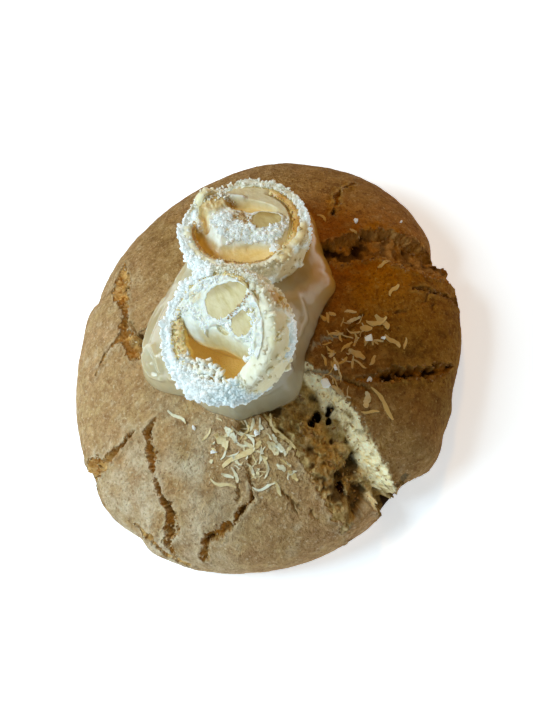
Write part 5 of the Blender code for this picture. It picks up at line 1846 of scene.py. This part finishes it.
def make_halves():
    """Both halves of the ball with all that is in them."""
    finishes = {
        "snow": snow_finish(),
        "wafer": wafer_finish(),
        "filling": filling_finish(),
        "almond": almond_finish(),
        "brown": crumbs_finish("almond_skin", (0.70, 0.50, 0.26), (0.34, 0.17, 0.06)),
        "pale": crumbs_finish("pale_crumb", (0.97, 0.98, 0.95), (0.90, 0.84, 0.62)),
    }
    for seed, (name, half) in enumerate(HALVES.items()):
        rng = np.random.default_rng(HALF_SEED + seed)
        make_coating(name, half, finishes["snow"], rng)
        make_bands(name, half, finishes["snow"])
        make_wafer(name, half, finishes["wafer"], rng)
        make_filling(name, half, finishes["filling"])
        for node, almond in half["almonds"].items():
            make_almond(name, half, node, almond, finishes["almond"])
        make_face_crumbs(name, half, finishes, rng)
    return finishes["snow"]


# ---------------------------------------------------------------- camera, light and floor


def make_camera():
    """The photograph's view: from above the split, rolled."""
    elevation = math.radians(VIEW_ELEVATION)
    back = Vector((0.0, -math.cos(elevation), math.sin(elevation)))
    level_right = Vector((1.0, 0.0, 0.0))
    level_up = back.cross(level_right)
    roll = math.radians(VIEW_ROLL)
    right = math.cos(roll) * level_right + math.sin(roll) * level_up
    up = back.cross(right)
    data = bpy.data.cameras.new("camera")
    data.lens = LENS
    data.sensor_width = SENSOR
    data.sensor_fit = "AUTO"
    data.clip_start = 0.01
    camera = bpy.data.objects.new("camera", data)
    place = (Vector(VIEW_TARGET) + back * VIEW_DISTANCE) * MM
    camera.matrix_world = Matrix.Translation(place) @ Matrix((right, up, back)).transposed().to_4x4()
    bpy.context.scene.collection.objects.link(camera)
    bpy.context.scene.camera = camera


def add_light(name, azimuth, elevation, distance, size, power, colour):
    """A square lamp that looks at the middle of the cookie."""
    data = bpy.data.lights.new(name, "AREA")
    data.size = size
    data.energy = power
    data.color = colour
    lamp = bpy.data.objects.new(name, data)
    turn, rise = math.radians(azimuth), math.radians(elevation)
    away = Vector((math.cos(turn) * math.cos(rise), math.sin(turn) * math.cos(rise), math.sin(rise)))
    lamp.location = Vector(LAMP_AIM) + away * distance
    lamp.rotation_euler = away.to_track_quat("Z", "Y").to_euler()
    bpy.context.scene.collection.objects.link(lamp)


def make_studio():
    """A pale floor, two cool lamps on the left, and weak warm lamps on the right and behind."""
    scene = bpy.context.scene
    scene.view_settings.view_transform = "Standard"
    world = bpy.data.worlds.new("studio")
    world.use_nodes = True
    world.node_tree.nodes["Background"].inputs["Color"].default_value = WORLD_COLOUR
    world.node_tree.nodes["Background"].inputs["Strength"].default_value = WORLD_STRENGTH
    scene.world = world
    for lamp in LAMPS:
        add_light(*lamp)
    finish = Finish("pale_floor", roughness=0.9, specular_ior_level=0.1)
    finish.paint(finish.mix(finish.noise(30.0, 3.0), *FLOOR_TONES))
    finish.shader.inputs["Emission Color"].default_value = FLOOR_GLOW
    finish.shader.inputs["Emission Strength"].default_value = FLOOR_GLOW_STRENGTH
    mesh = bpy.data.meshes.new("floor")
    corners = [(FLOOR_REACH * x, FLOOR_REACH * y, 0) for x, y in ((-1, -1), (1, -1), (1, 1), (-1, 1))]
    mesh.from_pydata(corners, [], [(0, 1, 2, 3)])
    mesh.materials.append(finish.material)
    floor = bpy.data.objects.new("floor", mesh)
    scene.collection.objects.link(floor)


def main():
    make_camera()
    make_studio()
    surface, *marks = make_cookie()
    make_shreds(surface)
    make_crumbs(*marks)
    make_cream()
    snow = make_halves()
    make_chunks(surface, snow)


main()
